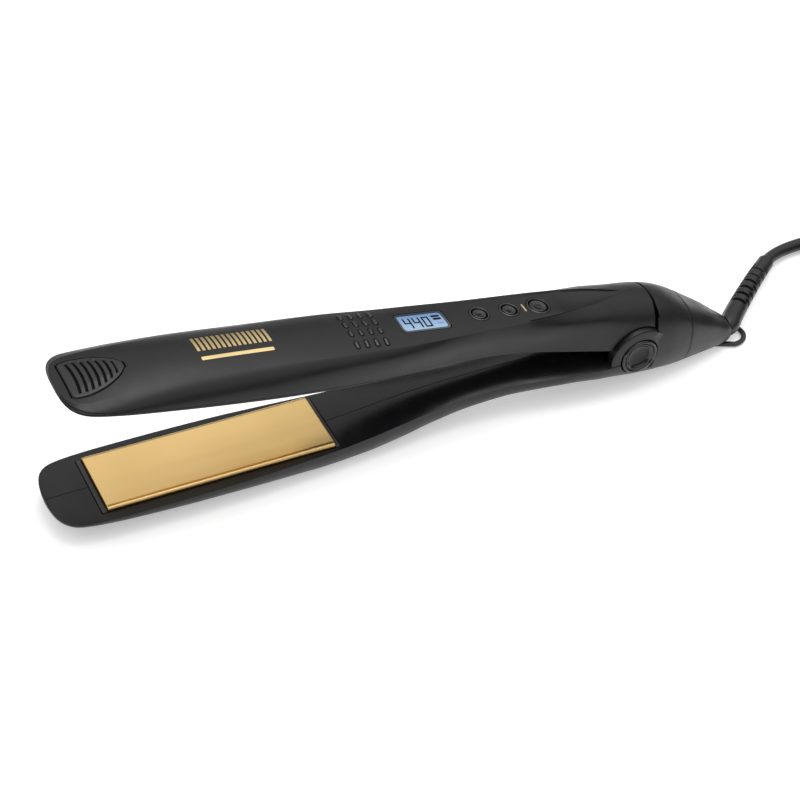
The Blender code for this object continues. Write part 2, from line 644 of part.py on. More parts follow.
def upper_underside(upper):
    """Plate frame in front and cover under the handle."""
    xs = TIP_XS + spread(0.0, 98.0, 7) + [104.0, 112.0, 121.0, 128.0, 136.0]
    frame = loft("upper_plate_frame", xs, upper_ring, upper, soft_black())
    combine(frame, block("frame_limit", (-40.0, -40.0, -5.0), (FRAME_END, 40.0, UPPER_RIM - GAP), upper),
            "INTERSECT")
    half = PLATE_WIDTH / 2 + GAP
    combine(frame, block("upper_plate_opening", (-2.6, -half, 0.0), (PLATE_LENGTH + 2.6, half, 8.0), upper))

    def cover_ring(x):
        side = upper_at(x)[0] - WALL - 0.6
        return [(-side, UPPER_RIM), (side, UPPER_RIM), (side, UPPER_RIM + 1.8), (-side, UPPER_RIM + 1.8)]

    cover = loft("upper_inner_cover", [FRAME_END + GAP] + spread(140.0, 231.0, 10), cover_ring, upper,
                 gloss_black())
    for number, x in enumerate((141.0, 214.0), 1):
        combine(cover, rod(f"cover_hole_{number}", (x, 0, 0.0), (x, 0, 12.0), 1.3 + GAP, upper, steps=16))
        combine(cover, rod(f"cover_sink_{number}", (x, 0, 0.0), (x, 0, UPPER_RIM + 1.1), 2.4 + GAP, upper,
                           steps=16))
        profile = [(0.0, 0.0), (2.4, 0.0), (2.4, 0.7), (1.3, 0.8), (1.3, 6.0), (0.0, 6.0)]
        turned(f"cover_screw_{number}", (x, 0, UPPER_RIM + 0.2), (0, 0, 1), profile, upper, steel(), steps=16)


def knuckle(upper):
    """Root of the upper arm: two ears on the hinge pin with the opening spring between them."""
    ears = rod("hinge_knuckle", (HINGE_X, -11.2, HINGE_Z), (HINGE_X, 11.2, HINGE_Z), 7.6, upper,
               material("nylon", (0.8, 0.8, 0.78), 0.4), steps=28)
    combine(ears, block("knuckle_arm", (222.0, -9.5, 8.2), (249.0, 9.5, 14.2), upper), "UNION")
    combine(ears, rod("knuckle_bore", (HINGE_X, -20, HINGE_Z), (HINGE_X, 20, HINGE_Z), PIN_RADIUS + GAP, upper))
    combine(ears, block("spring_slot", (236.0, -3.9, -8.0), (260.0, 3.9, 8.4), upper))
    turns, count = 3.5, 64
    coil = []
    for k in range(count + 1):
        angle = 2 * math.pi * turns * k / count
        coil.append((HINGE_X + 4.6 * math.cos(angle), -2.9 + 5.8 * k / count, HINGE_Z + 4.6 * math.sin(angle)))
    pipe("opening_spring", coil, 0.6, upper, steel(), sides=6)


def controls(upper, buttons):
    """Screen, circuit board, switches, and the three buttons in their rings."""
    half_x, half_y = SCREEN_HALF

    def lens_ring(x):
        ys = spread(-half_y, half_y, 5)
        over = [(y, upper_surface(x, y) - 0.15) for y in ys]
        return over + [(half_y, upper_surface(x, 0) - 1.9), (-half_y, upper_surface(x, 0) - 1.9)]

    loft("screen_lens", spread(SCREEN_X - half_x, SCREEN_X + half_x, 5), lens_ring, upper, clear_lens())
    block("screen_module", (SCREEN_X - 13.0, -7.0, 13.9), (SCREEN_X + 13.0, 7.0, 15.5), upper, screen_blue())
    board_top = 13.6
    block("control_board", (124.0, -7.4, board_top - 1.6), (207.0, 7.4, board_top), upper, board_green())
    for name, x, radius in BUTTONS:
        normal = top_normal(x)
        top = Vector((x, 0.0, upper_surface(x, 0.0)))
        ring = [(radius + GAP, -1.8), (radius + 1.3, -1.8), (radius + 1.3, 0.05), (radius + 0.9, 0.3),
                (radius + GAP, 0.1)]
        turned(f"{name}_ring", top, normal, ring, upper, gloss_black(), steps=24, closed=True)
        cap = [(0.0, -3.2), (radius, -3.2), (radius, 0.25), (radius - 0.5, 0.55), (0.0, 0.55)]
        turned(f"{name}_button", top, normal, cap, buttons[name], gloss_black(), steps=24)
        stem = top - normal * (3.2 + BUTTON_TRAVEL + GAP)
        switch = [(0.0, board_top + GAP - stem.z), (3.0, board_top + GAP - stem.z), (3.0, -0.9), (1.5, -0.9),
                  (1.5, 0.0), (0.0, 0.0)]
        turned(f"{name}_switch", stem, (0, 0, 1), switch, upper, steel(), steps=12)


# ------------------------------------------------------------------------------------------- cord
COIL_CENTRE = (264.0, -3.0)
COIL_RADIUS = 36.0
COIL_BASE = 0.9                   # the tie passes under the coil
TIE_ANGLE = 60.0
PLUG_ANGLE = -100.0               # where the last turn ends on the coil
PLUG_RISE = 4.1                   # lifts the plug's axis so that its body lies on the turns
BLADE_SPACING = 12.7
LEAD_KNOTS = [(207.05, 36.3, 6.2), (214.0, 40.4, 5.0), (222.0, 43.4, 4.1), (231.0, 44.8, 3.9),
              (240.0, 45.0, 3.9)]


def coil_point(angle_deg, radius, height):
    angle = math.radians(angle_deg)
    return (COIL_CENTRE[0] + radius * math.cos(angle), COIL_CENTRE[1] + radius * math.sin(angle), height)


def cord_parts(table):
    """Lead to the coil, the coil with its tie, the last turn and the mains plug."""
    radius = CORD_DIAMETER / 2
    rise = CORD_DIAMETER * math.sin(math.radians(60))
    pipe("cord_lead", smooth_path(LEAD_KNOTS, 2), radius, table, rubber(), sides=8)
    top = COIL_BASE + CORD_DIAMETER + 2 * rise
    wide, narrow = 2 * CORD_DIAMETER, CORD_DIAMETER
    section = [(COIL_RADIUS - wide, COIL_BASE), (COIL_RADIUS + wide, COIL_BASE),
               (COIL_RADIUS + wide, COIL_BASE + CORD_DIAMETER), (COIL_RADIUS + narrow, top),
               (COIL_RADIUS - narrow, top), (COIL_RADIUS - wide, COIL_BASE + CORD_DIAMETER)]
    turned("cord_coil", (*COIL_CENTRE, 0.0), (0, 0, 1), section, table, rubber(), steps=40, closed=True)
    end_height = top + GAP + radius
    end = [Vector(coil_point(a, COIL_RADIUS, end_height)) for a in range(150, -71, -10)]
    end += [Vector(coil_point(-80, COIL_RADIUS, end_height + PLUG_RISE * 0.27)),
            Vector(coil_point(-90, COIL_RADIUS, end_height + PLUG_RISE * 0.7)),
            Vector(coil_point(PLUG_ANGLE, COIL_RADIUS, end_height + PLUG_RISE))]
    heading = math.radians(PLUG_ANGLE - 90.0)
    end.append(end[-1] + Vector((math.cos(heading), math.sin(heading), 0.0)) * 2.0)
    pipe("cord_end", end, radius, table, rubber(), sides=8)
    cord_tie(end_height, top, table)
    mains_plug(end[-1], heading, table)


def cord_tie(last_turn, top, table):
    """Strap round all the turns: a closed band whose outline is given as (radial, height) pairs."""
    wide, narrow = 2 * CORD_DIAMETER, CORD_DIAMETER
    crest = last_turn + CORD_DIAMETER / 2
    inner = [(-wide - 0.9, COIL_BASE - GAP), (wide + 0.3, COIL_BASE - GAP), (wide + 0.3, 7.3),
             (narrow + 0.6, top + GAP), (2.6, crest + 0.4), (-2.6, crest + 0.4), (-narrow - 0.6, top + GAP),
             (-wide - 0.9, 7.3)]
    outer = [(-wide - 1.5, 0.1), (wide + 0.9, 0.1), (wide + 0.9, 7.5), (narrow + 1.1, top + 0.6),
             (2.9, crest + 1.0), (-2.9, crest + 1.0), (-narrow - 1.1, top + 0.6), (-wide - 1.5, 7.5)]
    angle = math.radians(TIE_ANGLE)
    frame = Frame("tie_frame", (0.0, 0.0, 0.0), table, (0.0, 0.0, angle))
    frame.empty.location = Vector(coil_point(TIE_ANGLE, COIL_RADIUS, 0.0)) * MM
    points = [(r, side, z) for side in (-5.0, 5.0) for ring in (inner, outer) for r, z in ring]
    count, faces = len(inner), []
    for k in range(count):
        n = (k + 1) % count
        faces += [(k, n, n + 2 * count, k + 2 * count),
                  (k + count, n + count, n + 3 * count, k + 3 * count),
                  (k, n, n + count, k + count),
                  (k + 2 * count, n + 2 * count, n + 3 * count, k + 3 * count)]
    add_mesh("cord_tie", points, faces, frame, rubber())


PLUG_LENGTH = 30.0
PLUG_STATIONS = [(0.3, 4.2, 4.2), (6.0, 4.6, 4.5), (10.0, 6.0, 5.2), (16.0, 9.6, 6.4), (22.0, 11.6, 7.0),
                 (28.0, 12.0, 7.0), (29.4, 11.7, 6.7), (PLUG_LENGTH, 11.0, 6.0)]
plug_at = smooth_table(PLUG_STATIONS)


def plug_ring(x):
    half, thick = plug_at(x)
    quarter = ellipse_arc(half, thick, 2.6, 6)
    side = quarter + [(y, -z) for y, z in reversed(quarter[:-1])]
    return side + [(-y, z) for y, z in reversed(side[1:-1])]


def mains_plug(start, heading, table):
    """Two-blade plug that lies on the coil, pointing along the cord's last turn."""
    frame = Frame("plug_frame", (0.0, 0.0, 0.0), table, (0.0, 0.0, heading))
    frame.empty.location = start * MM
    body = loft("plug_body", [0.3, 4.0, 8.0, 11.0, 14.0, 18.0, 22.0, 26.0, 28.5, 29.4, PLUG_LENGTH], plug_ring,
                frame, soft_black())
    for name, side in (("1", -1), ("2", 1)):
        y = side * BLADE_SPACING / 2
        low, high = (y - 0.75, -3.2), (y + 0.75, 3.2)
        combine(body, block(f"blade_slot_{name}", (24.0 - GAP, low[0] - GAP, low[1] - GAP),
                            (40.0, high[0] + GAP, high[1] + GAP), frame))
        block(f"plug_blade_{name}", (24.0, *low), (PLUG_LENGTH + 17.0, *high), frame, brass(), bevel=0.3)


def build():
    rest = Frame("rest_frame", (0.0, 0.0, 0.0), rotation=(0.0, -REST_TILT, 0.0))
    rest.empty.location = Vector((FRAME_SHIFT, 0.0, REST_LIFT)) * MM
    upper = Frame("upper_arm_pivot", (HINGE_X, 0.0, HINGE_Z), rest, (0.0, OPEN_ANGLE, 0.0))
    swivel = Frame("swivel_pivot", (SWIVEL_X, 0.0, SWIVEL_Z), rest)
    buttons = {name: Frame(f"{name}_slide", (x, 0.0, upper_surface(x, 0.0)), upper) for name, x, _ in BUTTONS}
    lower_shells(rest)
    plate_set("lower", rest, -1)
    hinge_parts(rest)
    tail_cap(rest)
    hang_loop(rest)
    swivel_parts(swivel)
    upper_shell(rest, upper)
    upper_underside(upper)
    plate_set("upper", upper, 1)
    knuckle(upper)
    controls(upper, buttons)
    cord_parts(TABLE)


clear_scene()
TABLE = Frame("table_frame", (0.0, 0.0, 0.0))
build()
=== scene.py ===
"""Visual model of the flat iron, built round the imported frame.

Lengths in the shape code are millimetres, as in the CAD, and every mesh is stored in metres in the row's
frame at rest. The arm frame has its origin at the middle of the lower plate's tip end, x towards the cord
and z along the plate's normal. The upper arm is drawn closed and is then opened by its pivot.
"""
from math import cos, hypot, pi, radians, sin, sqrt

import bmesh
import bpy
import numpy as np
from mathutils import Matrix, Vector


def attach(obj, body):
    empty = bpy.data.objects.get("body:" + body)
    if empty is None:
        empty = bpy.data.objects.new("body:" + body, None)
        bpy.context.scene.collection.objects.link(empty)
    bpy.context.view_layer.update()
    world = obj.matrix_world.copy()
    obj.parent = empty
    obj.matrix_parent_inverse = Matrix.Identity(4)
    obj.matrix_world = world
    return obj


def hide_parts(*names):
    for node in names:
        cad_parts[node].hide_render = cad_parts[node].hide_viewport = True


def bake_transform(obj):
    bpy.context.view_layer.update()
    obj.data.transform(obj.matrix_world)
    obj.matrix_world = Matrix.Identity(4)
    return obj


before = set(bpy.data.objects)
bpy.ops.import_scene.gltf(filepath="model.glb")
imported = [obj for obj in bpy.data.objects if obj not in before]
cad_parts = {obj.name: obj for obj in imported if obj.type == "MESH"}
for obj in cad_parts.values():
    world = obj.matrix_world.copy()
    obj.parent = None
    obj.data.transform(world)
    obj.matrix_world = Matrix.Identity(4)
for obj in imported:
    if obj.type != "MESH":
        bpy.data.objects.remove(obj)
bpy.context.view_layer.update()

MM = 0.001
GAP = 0.3

# ---- dimensions shared with the CAD
PLATE_LENGTH = 100.3
PLATE_WIDTH = 31.75
PLATE_THICKNESS = 2.4
PLATE_GAP = 0.15
HINGE_X = 248.5
HINGE_Z = 1.8
OPEN_ANGLE = radians(11.5)
REST_TILT = radians(1.12)
REST_LIFT = 14.3
FRAME_SHIFT = -150.05
WALL = 2.2
RING_X = 277.8
BOSS_RADIUS = 14.3
BAY_HALF = 12.9
CHEEK_FACE = 17.2
PIN_RADIUS = 2.5
COVER_RADIUS = 9.3
SWIVEL_Z = -12.6
LOOP_LOW, LOOP_HIGH = -19.9, -18.1
CORD_RADIUS = 3.0
SCREEN_X = 139.5
SCREEN_HALF = (11.6, 6.0)
UPPER_RIM = 3.7
FRAME_END = 133.0
BUTTONS = [("minus", 167.4, 3.4), ("plus", 182.3, 3.4), ("power", 197.0, 4.2)]      # name, x, radius
KEY_RING_WIDTH = 1.3
SEAM = 0.22

# x, half width, rim height, crown height, base height
LOWER_STATIONS = [
    (-20.9, 4.0, -3.2, -3.1, -4.6),
    (-20.3, 9.0, -2.8, -2.6, -5.3),
    (-19.0, 13.2, -2.6, -2.4, -6.0),
    (-17.5, 15.6, -2.5, -2.3, -6.6),
    (-15.0, 17.8, -2.5, -2.3, -7.3),
    (-11.3, 19.2, -2.5, -2.2, -8.1),
    (-3.0, 20.2, -2.5, -2.2, -9.5),
    (10.0, 20.7, -2.5, -2.2, -11.3),
    (30.0, 20.8, -2.5, -2.2, -13.3),
    (58.0, 20.4, -2.5, -2.2, -15.1),
    (80.0, 19.3, -2.5, -2.2, -17.0),
    (100.0, 18.0, -2.5, -2.1, -18.5),
    (117.0, 16.6, -1.9, -0.6, -18.5),
    (134.0, 14.8, -0.9, 1.2, -16.9),
    (150.0, 13.0, -0.2, 2.4, -14.0),
    (168.0, 11.9, 0.0, 2.9, -11.4),
    (186.0, 12.2, 0.0, 3.0, -10.2),
    (201.0, 13.9, -0.1, 2.8, -10.2),
    (216.0, 16.0, -0.3, 2.4, -10.4),
    (233.0, 17.5, -0.5, 2.0, -12.6),
    (248.0, 17.5, -0.5, 2.0, -15.6),
    (264.0, 16.4, -0.5, 2.0, -18.6),
]
# x, half width, rim height, ridge half width, ridge height, top height, shoulder angle in degrees
UPPER_STATIONS = [
    (-20.9, 4.0, 2.9, 2.8, 4.1, 4.2, 30),
    (-20.3, 9.0, 2.6, 6.8, 4.2, 4.4, 30),
    (-19.0, 13.2, 2.5, 10.2, 4.4, 4.7, 30),
    (-17.5, 15.6, 2.5, 12.2, 4.6, 5.1, 30),
    (-15.0, 17.8, 2.5, 13.8, 4.9, 5.7, 28),
    (-11.3, 19.2, 2.5, 14.8, 5.4, 6.6, 26),
    (-3.0, 20.2, 2.5, 15.0, 6.8, 8.6, 24),
    (8.0, 20.7, 2.5, 14.5, 8.9, 11.1, 22),
    (30.0, 20.8, 2.5, 13.5, 12.0, 14.4, 22),
    (60.0, 20.3, 2.5, 13.2, 14.1, 16.5, 24),
    (98.0, 18.1, 2.6, 13.6, 16.1, 18.2, 30),
    (121.0, 16.0, 3.2, 13.0, 16.9, 18.8, 38),
    (139.0, 13.6, 4.0, 12.4, 17.8, 19.3, 52),
    (155.0, 11.6, 4.4, 11.4, 18.9, 19.8, 66),
    (170.0, 10.4, 4.6, 10.6, 20.0, 20.4, 72),
    (183.0, 10.0, 4.7, 10.2, 20.9, 21.1, 68),
    (196.0, 10.6, 4.7, 9.3, 22.1, 21.8, 50),
    (209.0, 12.0, 4.7, 7.8, 23.5, 22.6, 34),
    (223.0, 13.6, 4.7, 5.6, 24.8, 23.8, 20),
    (235.0, 15.0, 4.7, 2.2, 25.7, 25.4, 12),
    (241.0, 15.5, 4.7, 0.6, 26.0, 26.0, 8),
    (251.0, 16.0, 4.7, 0.6, 25.8, 25.8, 6),
    (264.0, 16.0, 4.7, 0.6, 24.6, 24.6, 6),
]
# x, half width, height of the widest line, top height, base height
TAIL_STATIONS = [
    (250.0, 17.3, 1.2, 24.6, -15.9),
    (258.0, 17.0, 0.6, 23.6, -17.8),
    (266.0, 16.5, -0.2, 21.0, -19.3),
    (272.0, 15.7, -1.0, 18.0, -19.9),
    (278.0, 14.6, -2.2, 14.3, -20.0),
    (286.0, 12.6, -4.4, 8.9, -20.0),
    (294.0, 10.5, -7.2, 3.4, -20.0),
    (301.0, 8.6, -9.8, -2.2, -19.8),
    (306.0, 7.2, -11.6, -6.0, -18.9),
    (308.2, 6.2, -12.4, -7.8, -17.9),
]


def smooth_table(rows):
    """Return a function of x that joins the rows' columns by monotone cubic curves."""
    table = np.array(rows, float)
    xs, values = table[:, 0], table[:, 1:]
    step = np.diff(xs)[:, None]
    slope = np.diff(values, axis=0) / step
    before, after = slope[:-1], slope[1:]
    w_before, w_after = 2 * step[1:] + step[:-1], step[1:] + 2 * step[:-1]
    same = before * after > 0
    safe_before, safe_after = (np.where(same, part, 1.0) for part in (before, after))
    mean = (w_before + w_after) / (w_before / safe_before + w_after / safe_after)
    tangent = np.vstack([slope[0], np.where(same, mean, 0.0), slope[-1]])

    def at(x):
        x = min(max(x, xs[0]), xs[-1])
        i = min(int(np.searchsorted(xs, x, side="right")) - 1, len(xs) - 2)
        h = xs[i + 1] - xs[i]
        t = (x - xs[i]) / h
        return ((1 + 2 * t) * (1 - t) ** 2 * values[i] + t * (1 - t) ** 2 * h * tangent[i]
                + t * t * (3 - 2 * t) * values[i + 1] + t * t * (t - 1) * h * tangent[i + 1])

    return at


def spread(low, high, count):
    return [low + (high - low) * i / (count - 1) for i in range(count)]


# ---- shape helpers
class Frame:
    """A placement: arm-frame millimetres in, row-frame metres out."""

    def __init__(self, matrix):
        self.matrix = matrix

    def metres(self, point):
        return self.matrix @ (Vector(point) * MM)


REST_MATRIX = (Matrix.Translation((FRAME_SHIFT * MM, 0.0, REST_LIFT * MM))
               @ Matrix.Rotation(-REST_TILT, 4, "Y"))
PIVOT = Vector((HINGE_X, 0.0, HINGE_Z)) * MM
OPENING = Matrix.Translation(PIVOT) @ Matrix.Rotation(OPEN_ANGLE, 4, "Y") @ Matrix.Translation(-PIVOT)
TABLE = Frame(Matrix.Identity(4))
REST = Frame(REST_MATRIX)
UPPER = Frame(REST_MATRIX @ OPENING)


def link(name, data):
    item = bpy.data.objects.new(name, data)
    bpy.context.scene.collection.objects.link(item)
    return item


def add_mesh(points, faces, place):
    mesh = bpy.data.meshes.new("shape")
    mesh.from_pydata([place.metres(p) for p in points], [], faces)
    work = bmesh.new()
    work.from_mesh(mesh)
    bmesh.ops.recalc_face_normals(work, faces=work.faces)
    work.to_mesh(mesh)
    work.free()
    return link("shape", mesh)


def loft(xs, section, place):
    """Join closed (y, z) rings at the given x positions and close both ends."""
    rings = [[(x, y, z) for y, z in section(x)] for x in xs]
    return skin(rings, place)


def skin(rings, place, closed=False):
    """Join rings of points; closed joins the last ring to the first."""
    size = len(rings[0])
    points = [p for ring in rings for p in ring]
    faces = [] if closed else [tuple(range(size)), tuple(range(len(points) - size, len(points)))]
    for i in range(len(rings) if closed else len(rings) - 1):
        n = (i + 1) % len(rings)
        for j in range(size):
            k = (j + 1) % size
            faces.append((i * size + j, i * size + k, n * size + k, n * size + j))
    return add_mesh(points, faces, place)


def block(low, high, place):
    corners = [(x, y, z) for x in (low[0], high[0]) for y in (low[1], high[1]) for z in (low[2], high[2])]
    faces = [(0, 1, 3, 2), (4, 6, 7, 5), (0, 4, 5, 1), (2, 3, 7, 6), (0, 2, 6, 4), (1, 5, 7, 3)]
    return add_mesh(corners, faces, place)


def turned(centre, axis, profile, place, steps=64, closed=False):
    """Turn a profile of (radius, height along the axis); a closed profile makes a ring."""
    axis = Vector(axis).normalized()
    side = axis.orthogonal().normalized()
    other = axis.cross(side)
    angles = [2 * pi * k / steps for k in range(steps)]
    spokes = [side * cos(angle) + other * sin(angle) for angle in angles]
    points, rows, faces = [], [], []
    for radius, height in profile:
        ring = [Vector(centre) + axis * height + spoke * radius for spoke in spokes[:None if radius else 1]]
        rows.append(range(len(points), len(points) + len(ring)))
        points += ring
    for low, high in list(zip(rows, rows[1:])) + ([(rows[-1], rows[0])] if closed else []):
        for k in range(steps):
            n = (k + 1) % steps
            quad = (low[k % len(low)], low[n % len(low)], high[n % len(high)], high[k % len(high)])
            faces.append(tuple(dict.fromkeys(quad)))
    if not closed:
        for row in (rows[0], rows[-1]):
            if len(row) > 1:
                faces.append(tuple(row))
    return add_mesh(points, faces, place)


def rod(start, end, radius, place, steps=64):
    start, end = Vector(start), Vector(end)
    return turned(start, end - start, [(radius, 0.0), (radius, (end - start).length)], place, steps)


def plan_slab(outline, low, high, place):
    """Raise a closed (x, y) outline from one height to another."""
    return skin([[(x, y, z) for x, y in outline] for z in (low, high)], place)


def combine(item, other, operation="DIFFERENCE"):
    """Cut, join or intersect with another object, which is used up when the item is settled."""
    change = item.modifiers.new("cut", "BOOLEAN")
    change.operation = operation
    change.object = other
    change.solver = "EXACT"
    return item


def cut(item, *cutters):
    for cutter in cutters:
        combine(item, cutter)
    return item


def settle(item):
    """Apply the modifiers and delete the cutters."""
    cutters = [m.object for m in item.modifiers if m.type == "BOOLEAN"]
    for cutter in cutters:
        if any(m.type == "BOOLEAN" for m in cutter.modifiers):
            settle(cutter)
    evaluated = item.evaluated_get(bpy.context.evaluated_depsgraph_get())
    mesh = bpy.data.meshes.new_from_object(evaluated)
    item.modifiers.clear()
    item.data = mesh
    for cutter in cutters:
        bpy.data.objects.remove(cutter, do_unlink=True)
    return item


def soften(item, width, segments=3, angle=30.0):
    """Round the edges of a simple closed shape."""
    change = item.modifiers.new("edges", "BEVEL")
    change.width = width * MM
    change.segments = segments
    change.limit_method = "ANGLE"
    change.angle_limit = radians(angle)
    change.harden_normals = False
    return settle(item)


def finished(item, name, body, material, node=None, sharp=32.0):
    """Name, shade and paint a piece and fix it to its body, in place of a CAD node when one is given."""
    if item.modifiers:
        settle(item)
    item.name = item.data.name = name
    item.data.shade_smooth()
    item.data.set_sharp_from_angle(angle=radians(sharp))
    item.data.materials.clear()
    item.data.materials.append(material)
    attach(item, body)
    if node:
        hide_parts(node)
    return item


def paint_where(item, material, frame_of, test):
    """Give the faces that pass the test, by centre in millimetres and by normal, a second material."""
    item.data.materials.append(material)
    slot = len(item.data.materials) - 1
    back = frame_of.matrix.inverted()
    turn = back.to_3x3()
    for face in item.data.polygons:
        if test((back @ face.center) / MM, turn @ face.normal):
            face.material_index = slot


def ellipse_arc(half, reach, exponent, count):
    """A quarter of a superellipse, from (0, reach) on the axis to (half, 0) at the side."""
    arc = []
    for i in range(count):
        angle = pi / 2 * i / (count - 1)
        arc.append((half * sin(angle) ** (2 / exponent),
                    reach * max(cos(angle), 0.0) ** (2 / exponent)))
    return arc


def bezier(p0, p1, p2, p3, count):
    curve = []
    for i in range(count):
        t = i / (count - 1)
        w = ((1 - t) ** 3, 3 * t * (1 - t) ** 2, 3 * t * t * (1 - t), t ** 3)
        curve.append(tuple(sum(k * p[c] for k, p in zip(w, (p0, p1, p2, p3))) for c in (0, 1)))
    return curve


def both_sides(half_ring):
    return half_ring + [(-y, z) for y, z in reversed(half_ring[1:-1])]


def smooth_path(knots, per_span):
    """Points on a Catmull-Rom curve through the knots."""
    knots = [Vector(k) for k in knots]
    ends = [2 * knots[0] - knots[1]] + knots + [2 * knots[-1] - knots[-2]]
    points = []
    for i in range(1, len(ends) - 2):
        p0, p1, p2, p3 = ends[i - 1:i + 3]
        for k in range(per_span):
            t = k / per_span
            points.append(0.5 * (2 * p1 + (p2 - p0) * t + (2 * p0 - 5 * p1 + 4 * p2 - p3) * t ** 2
                                 + (3 * p1 - p0 - 3 * p2 + p3) * t ** 3))
    return points + [knots[-1]]


def tube(path, radius_at, place, sides=64):
    """Tube along a nearly level path; radius_at takes the distance along it and the angle round it."""
    rings, walked = [], 0.0
    for i, centre in enumerate(path):
        ahead = (path[min(i + 1, len(path) - 1)] - path[max(i - 1, 0)]).normalized()
        across = ahead.cross(Vector((0, 0, 1))).normalized()
        up = across.cross(ahead)
        if i:
            walked += (centre - path[i - 1]).length
        ring = []
        for k in range(sides):
            angle = 2 * pi * k / sides
            radius = radius_at(walked, angle)
            ring.append(centre + (across * cos(angle) + up * sin(angle)) * radius)
        rings.append(ring)
    return skin(rings, place)


def even_path(knots, step):
    """The smooth curve through the knots, with points at even distances."""
    dense = smooth_path(knots, 60)
    walked = [0.0]
    for a, b in zip(dense, dense[1:]):
        walked.append(walked[-1] + (b - a).length)
    count = max(2, round(walked[-1] / step))
    points, k = [], 0
    for i in range(count + 1):
        target = walked[-1] * i / count
        while k < len(walked) - 2 and walked[k + 1] < target:
            k += 1
        t = (target - walked[k]) / max(walked[k + 1] - walked[k], 1e-9)
        points.append(dense[k].lerp(dense[k + 1], min(max(t, 0.0), 1.0)))
    return points, walked[-1]


def ease(t):
    t = min(max(t, 0.0), 1.0)
    return t * t * (3 - 2 * t)


lower_at = smooth_table(LOWER_STATIONS)
upper_at = smooth_table(UPPER_STATIONS)
tail_at = smooth_table(TAIL_STATIONS)


def lower_ring(x, inset=0.0):
    half, rim, crown, base = lower_at(x)
    half, rim, crown, base = half - inset, rim - inset, crown - inset, base + inset
    under = [(y, rim + z) for y, z in ellipse_arc(half, base - rim, 2.3, 26)]
    over = [(y, crown - (crown - rim) * (y / half) ** 2) for y in spread(half, 0.0, 14)]
    return both_sides(under + over[1:])


# share of the ridge's half width, and share of the depth of the groove that runs inside the ridge
CROWN = [(1.0, 0.0), (0.985, 0.0), (0.965, 0.5), (0.945, 1.0), (0.925, 1.0), (0.90, 0.8), (0.86, 0.55),
         (0.80, 0.3), (0.72, 0.1), (0.62, 0.0), (0.48, 0.0), (0.32, 0.0), (0.16, 0.0), (0.0, 0.0)]


def upper_ring(x, inset=0.0, floor=None):
    half, rim, ridge, ridge_z, top, shoulder = upper_at(x)
    lean = radians(shoulder)
    reach = 0.42 * hypot(half - ridge, ridge_z - rim)
    near_ridge = (ridge + reach * cos(lean), ridge_z - reach * sin(lean))
    fullness = 0.45 + 0.3 * min(max((x - 185.0) / 40.0, 0.0), 1.0)
    side = bezier((half, rim), (half, rim + fullness * (ridge_z - rim)), near_ridge, (ridge, ridge_z), 24)
    groove = 0.42 * ease((x - 181.0) / 22.0) * ease((240.0 - x) / 6.0)
    leaf = 0.75 * ease((x - 203.0) / 12.0) * ease((242.0 - x) / 8.0)
    crown = [(share * ridge, top - (top - ridge_z) * share ** 2
              - max(groove * cut, leaf * ease((0.97 - share) / 0.08))) for share, cut in CROWN]
    outline = side + crown[1:]
    if inset:
        outline = [(y * (half - inset) / half, z - inset) for y, z in outline]
    bottom = rim if floor is None else floor
    start = [(0.0, bottom)] if floor is None else [(0.0, bottom), (outline[0][0], bottom)]
    return both_sides(start + outline)


def tail_ring(x, inset=0.0):
    half, middle, top, base = tail_at(x)
    half, top, base = half - inset, top - inset, base + inset
    under = [(y, middle + z) for y, z in ellipse_arc(half, base - middle, 2.15, 26)]
    over = [(y, middle + z) for y, z in ellipse_arc(half, top - middle, 2.6, 26)]
    return both_sides(under + over[::-1][1:])


def upper_surface(x, y):
    ridge, ridge_z, top = upper_at(x)[2:5]
    return top - (top - ridge_z) * min(abs(y) / ridge, 1.0) ** 2


def top_normal(x):
    slope = (upper_surface(x + 2.0, 0.0) - upper_surface(x - 2.0, 0.0)) / 4.0
    return Vector((-slope, 0.0, 1.0)).normalized()


TIP_XS = [-20.9, -20.75, -20.5, -20.1, -19.5, -18.7, -17.8, -16.6, -15.2, -13.5, -11.5, -9.0, -6.0, -3.0]


def groove_wall(y):
    return 258.6 - 2.6 * (y / 16.0) ** 2


def groove_space(toward, offset):
    """Space in front of (-1) or behind (+1) the curved groove that parts the upper arm from the tail."""
    far_x = 200.0 if toward < 0 else 320.0
    wall = [(groove_wall(y) + offset, y) for y in spread(-24.0, 24.0, 49)]
    outline = wall + [(far_x, 24.0), (far_x, -24.0)]
    return plan_slab(outline, -2.0 if toward < 0 else -30.0, 45.0, REST)


# ---- materials
def shader_of(material):
    return next(n for n in material.node_tree.nodes if n.type == "BSDF_PRINCIPLED")


def feed(tree, node, **inputs):
    """Set a node's inputs: an output socket is linked, and anything else is the value."""
    for socket, value in inputs.items():
        target = node.inputs[socket.replace("_", " ")]
        if isinstance(value, bpy.types.NodeSocket):
            tree.links.new(value, target)
        else:
            target.default_value = value
    return node


def add_node(tree, kind, **inputs):
    return feed(tree, tree.nodes.new("ShaderNode" + kind), **inputs)


def new_material(name, colour, roughness, metallic=0.0, **extra):
    made = bpy.data.materials.new(name)
    made.use_nodes = True
    feed(made.node_tree, shader_of(made), Base_Color=(*colour, 1.0), Roughness=roughness, Metallic=metallic,
         **extra)
    return made


def noise(material, scale, detail, stretch=(1.0, 1.0, 1.0)):
    tree = material.node_tree
    coords = add_node(tree, "TexCoord").outputs["Object"]
    mapped = add_node(tree, "Mapping", Vector=coords, Scale=stretch).outputs["Vector"]
    return add_node(tree, "TexNoise", Vector=mapped, Scale=scale, Detail=detail).outputs["Fac"]


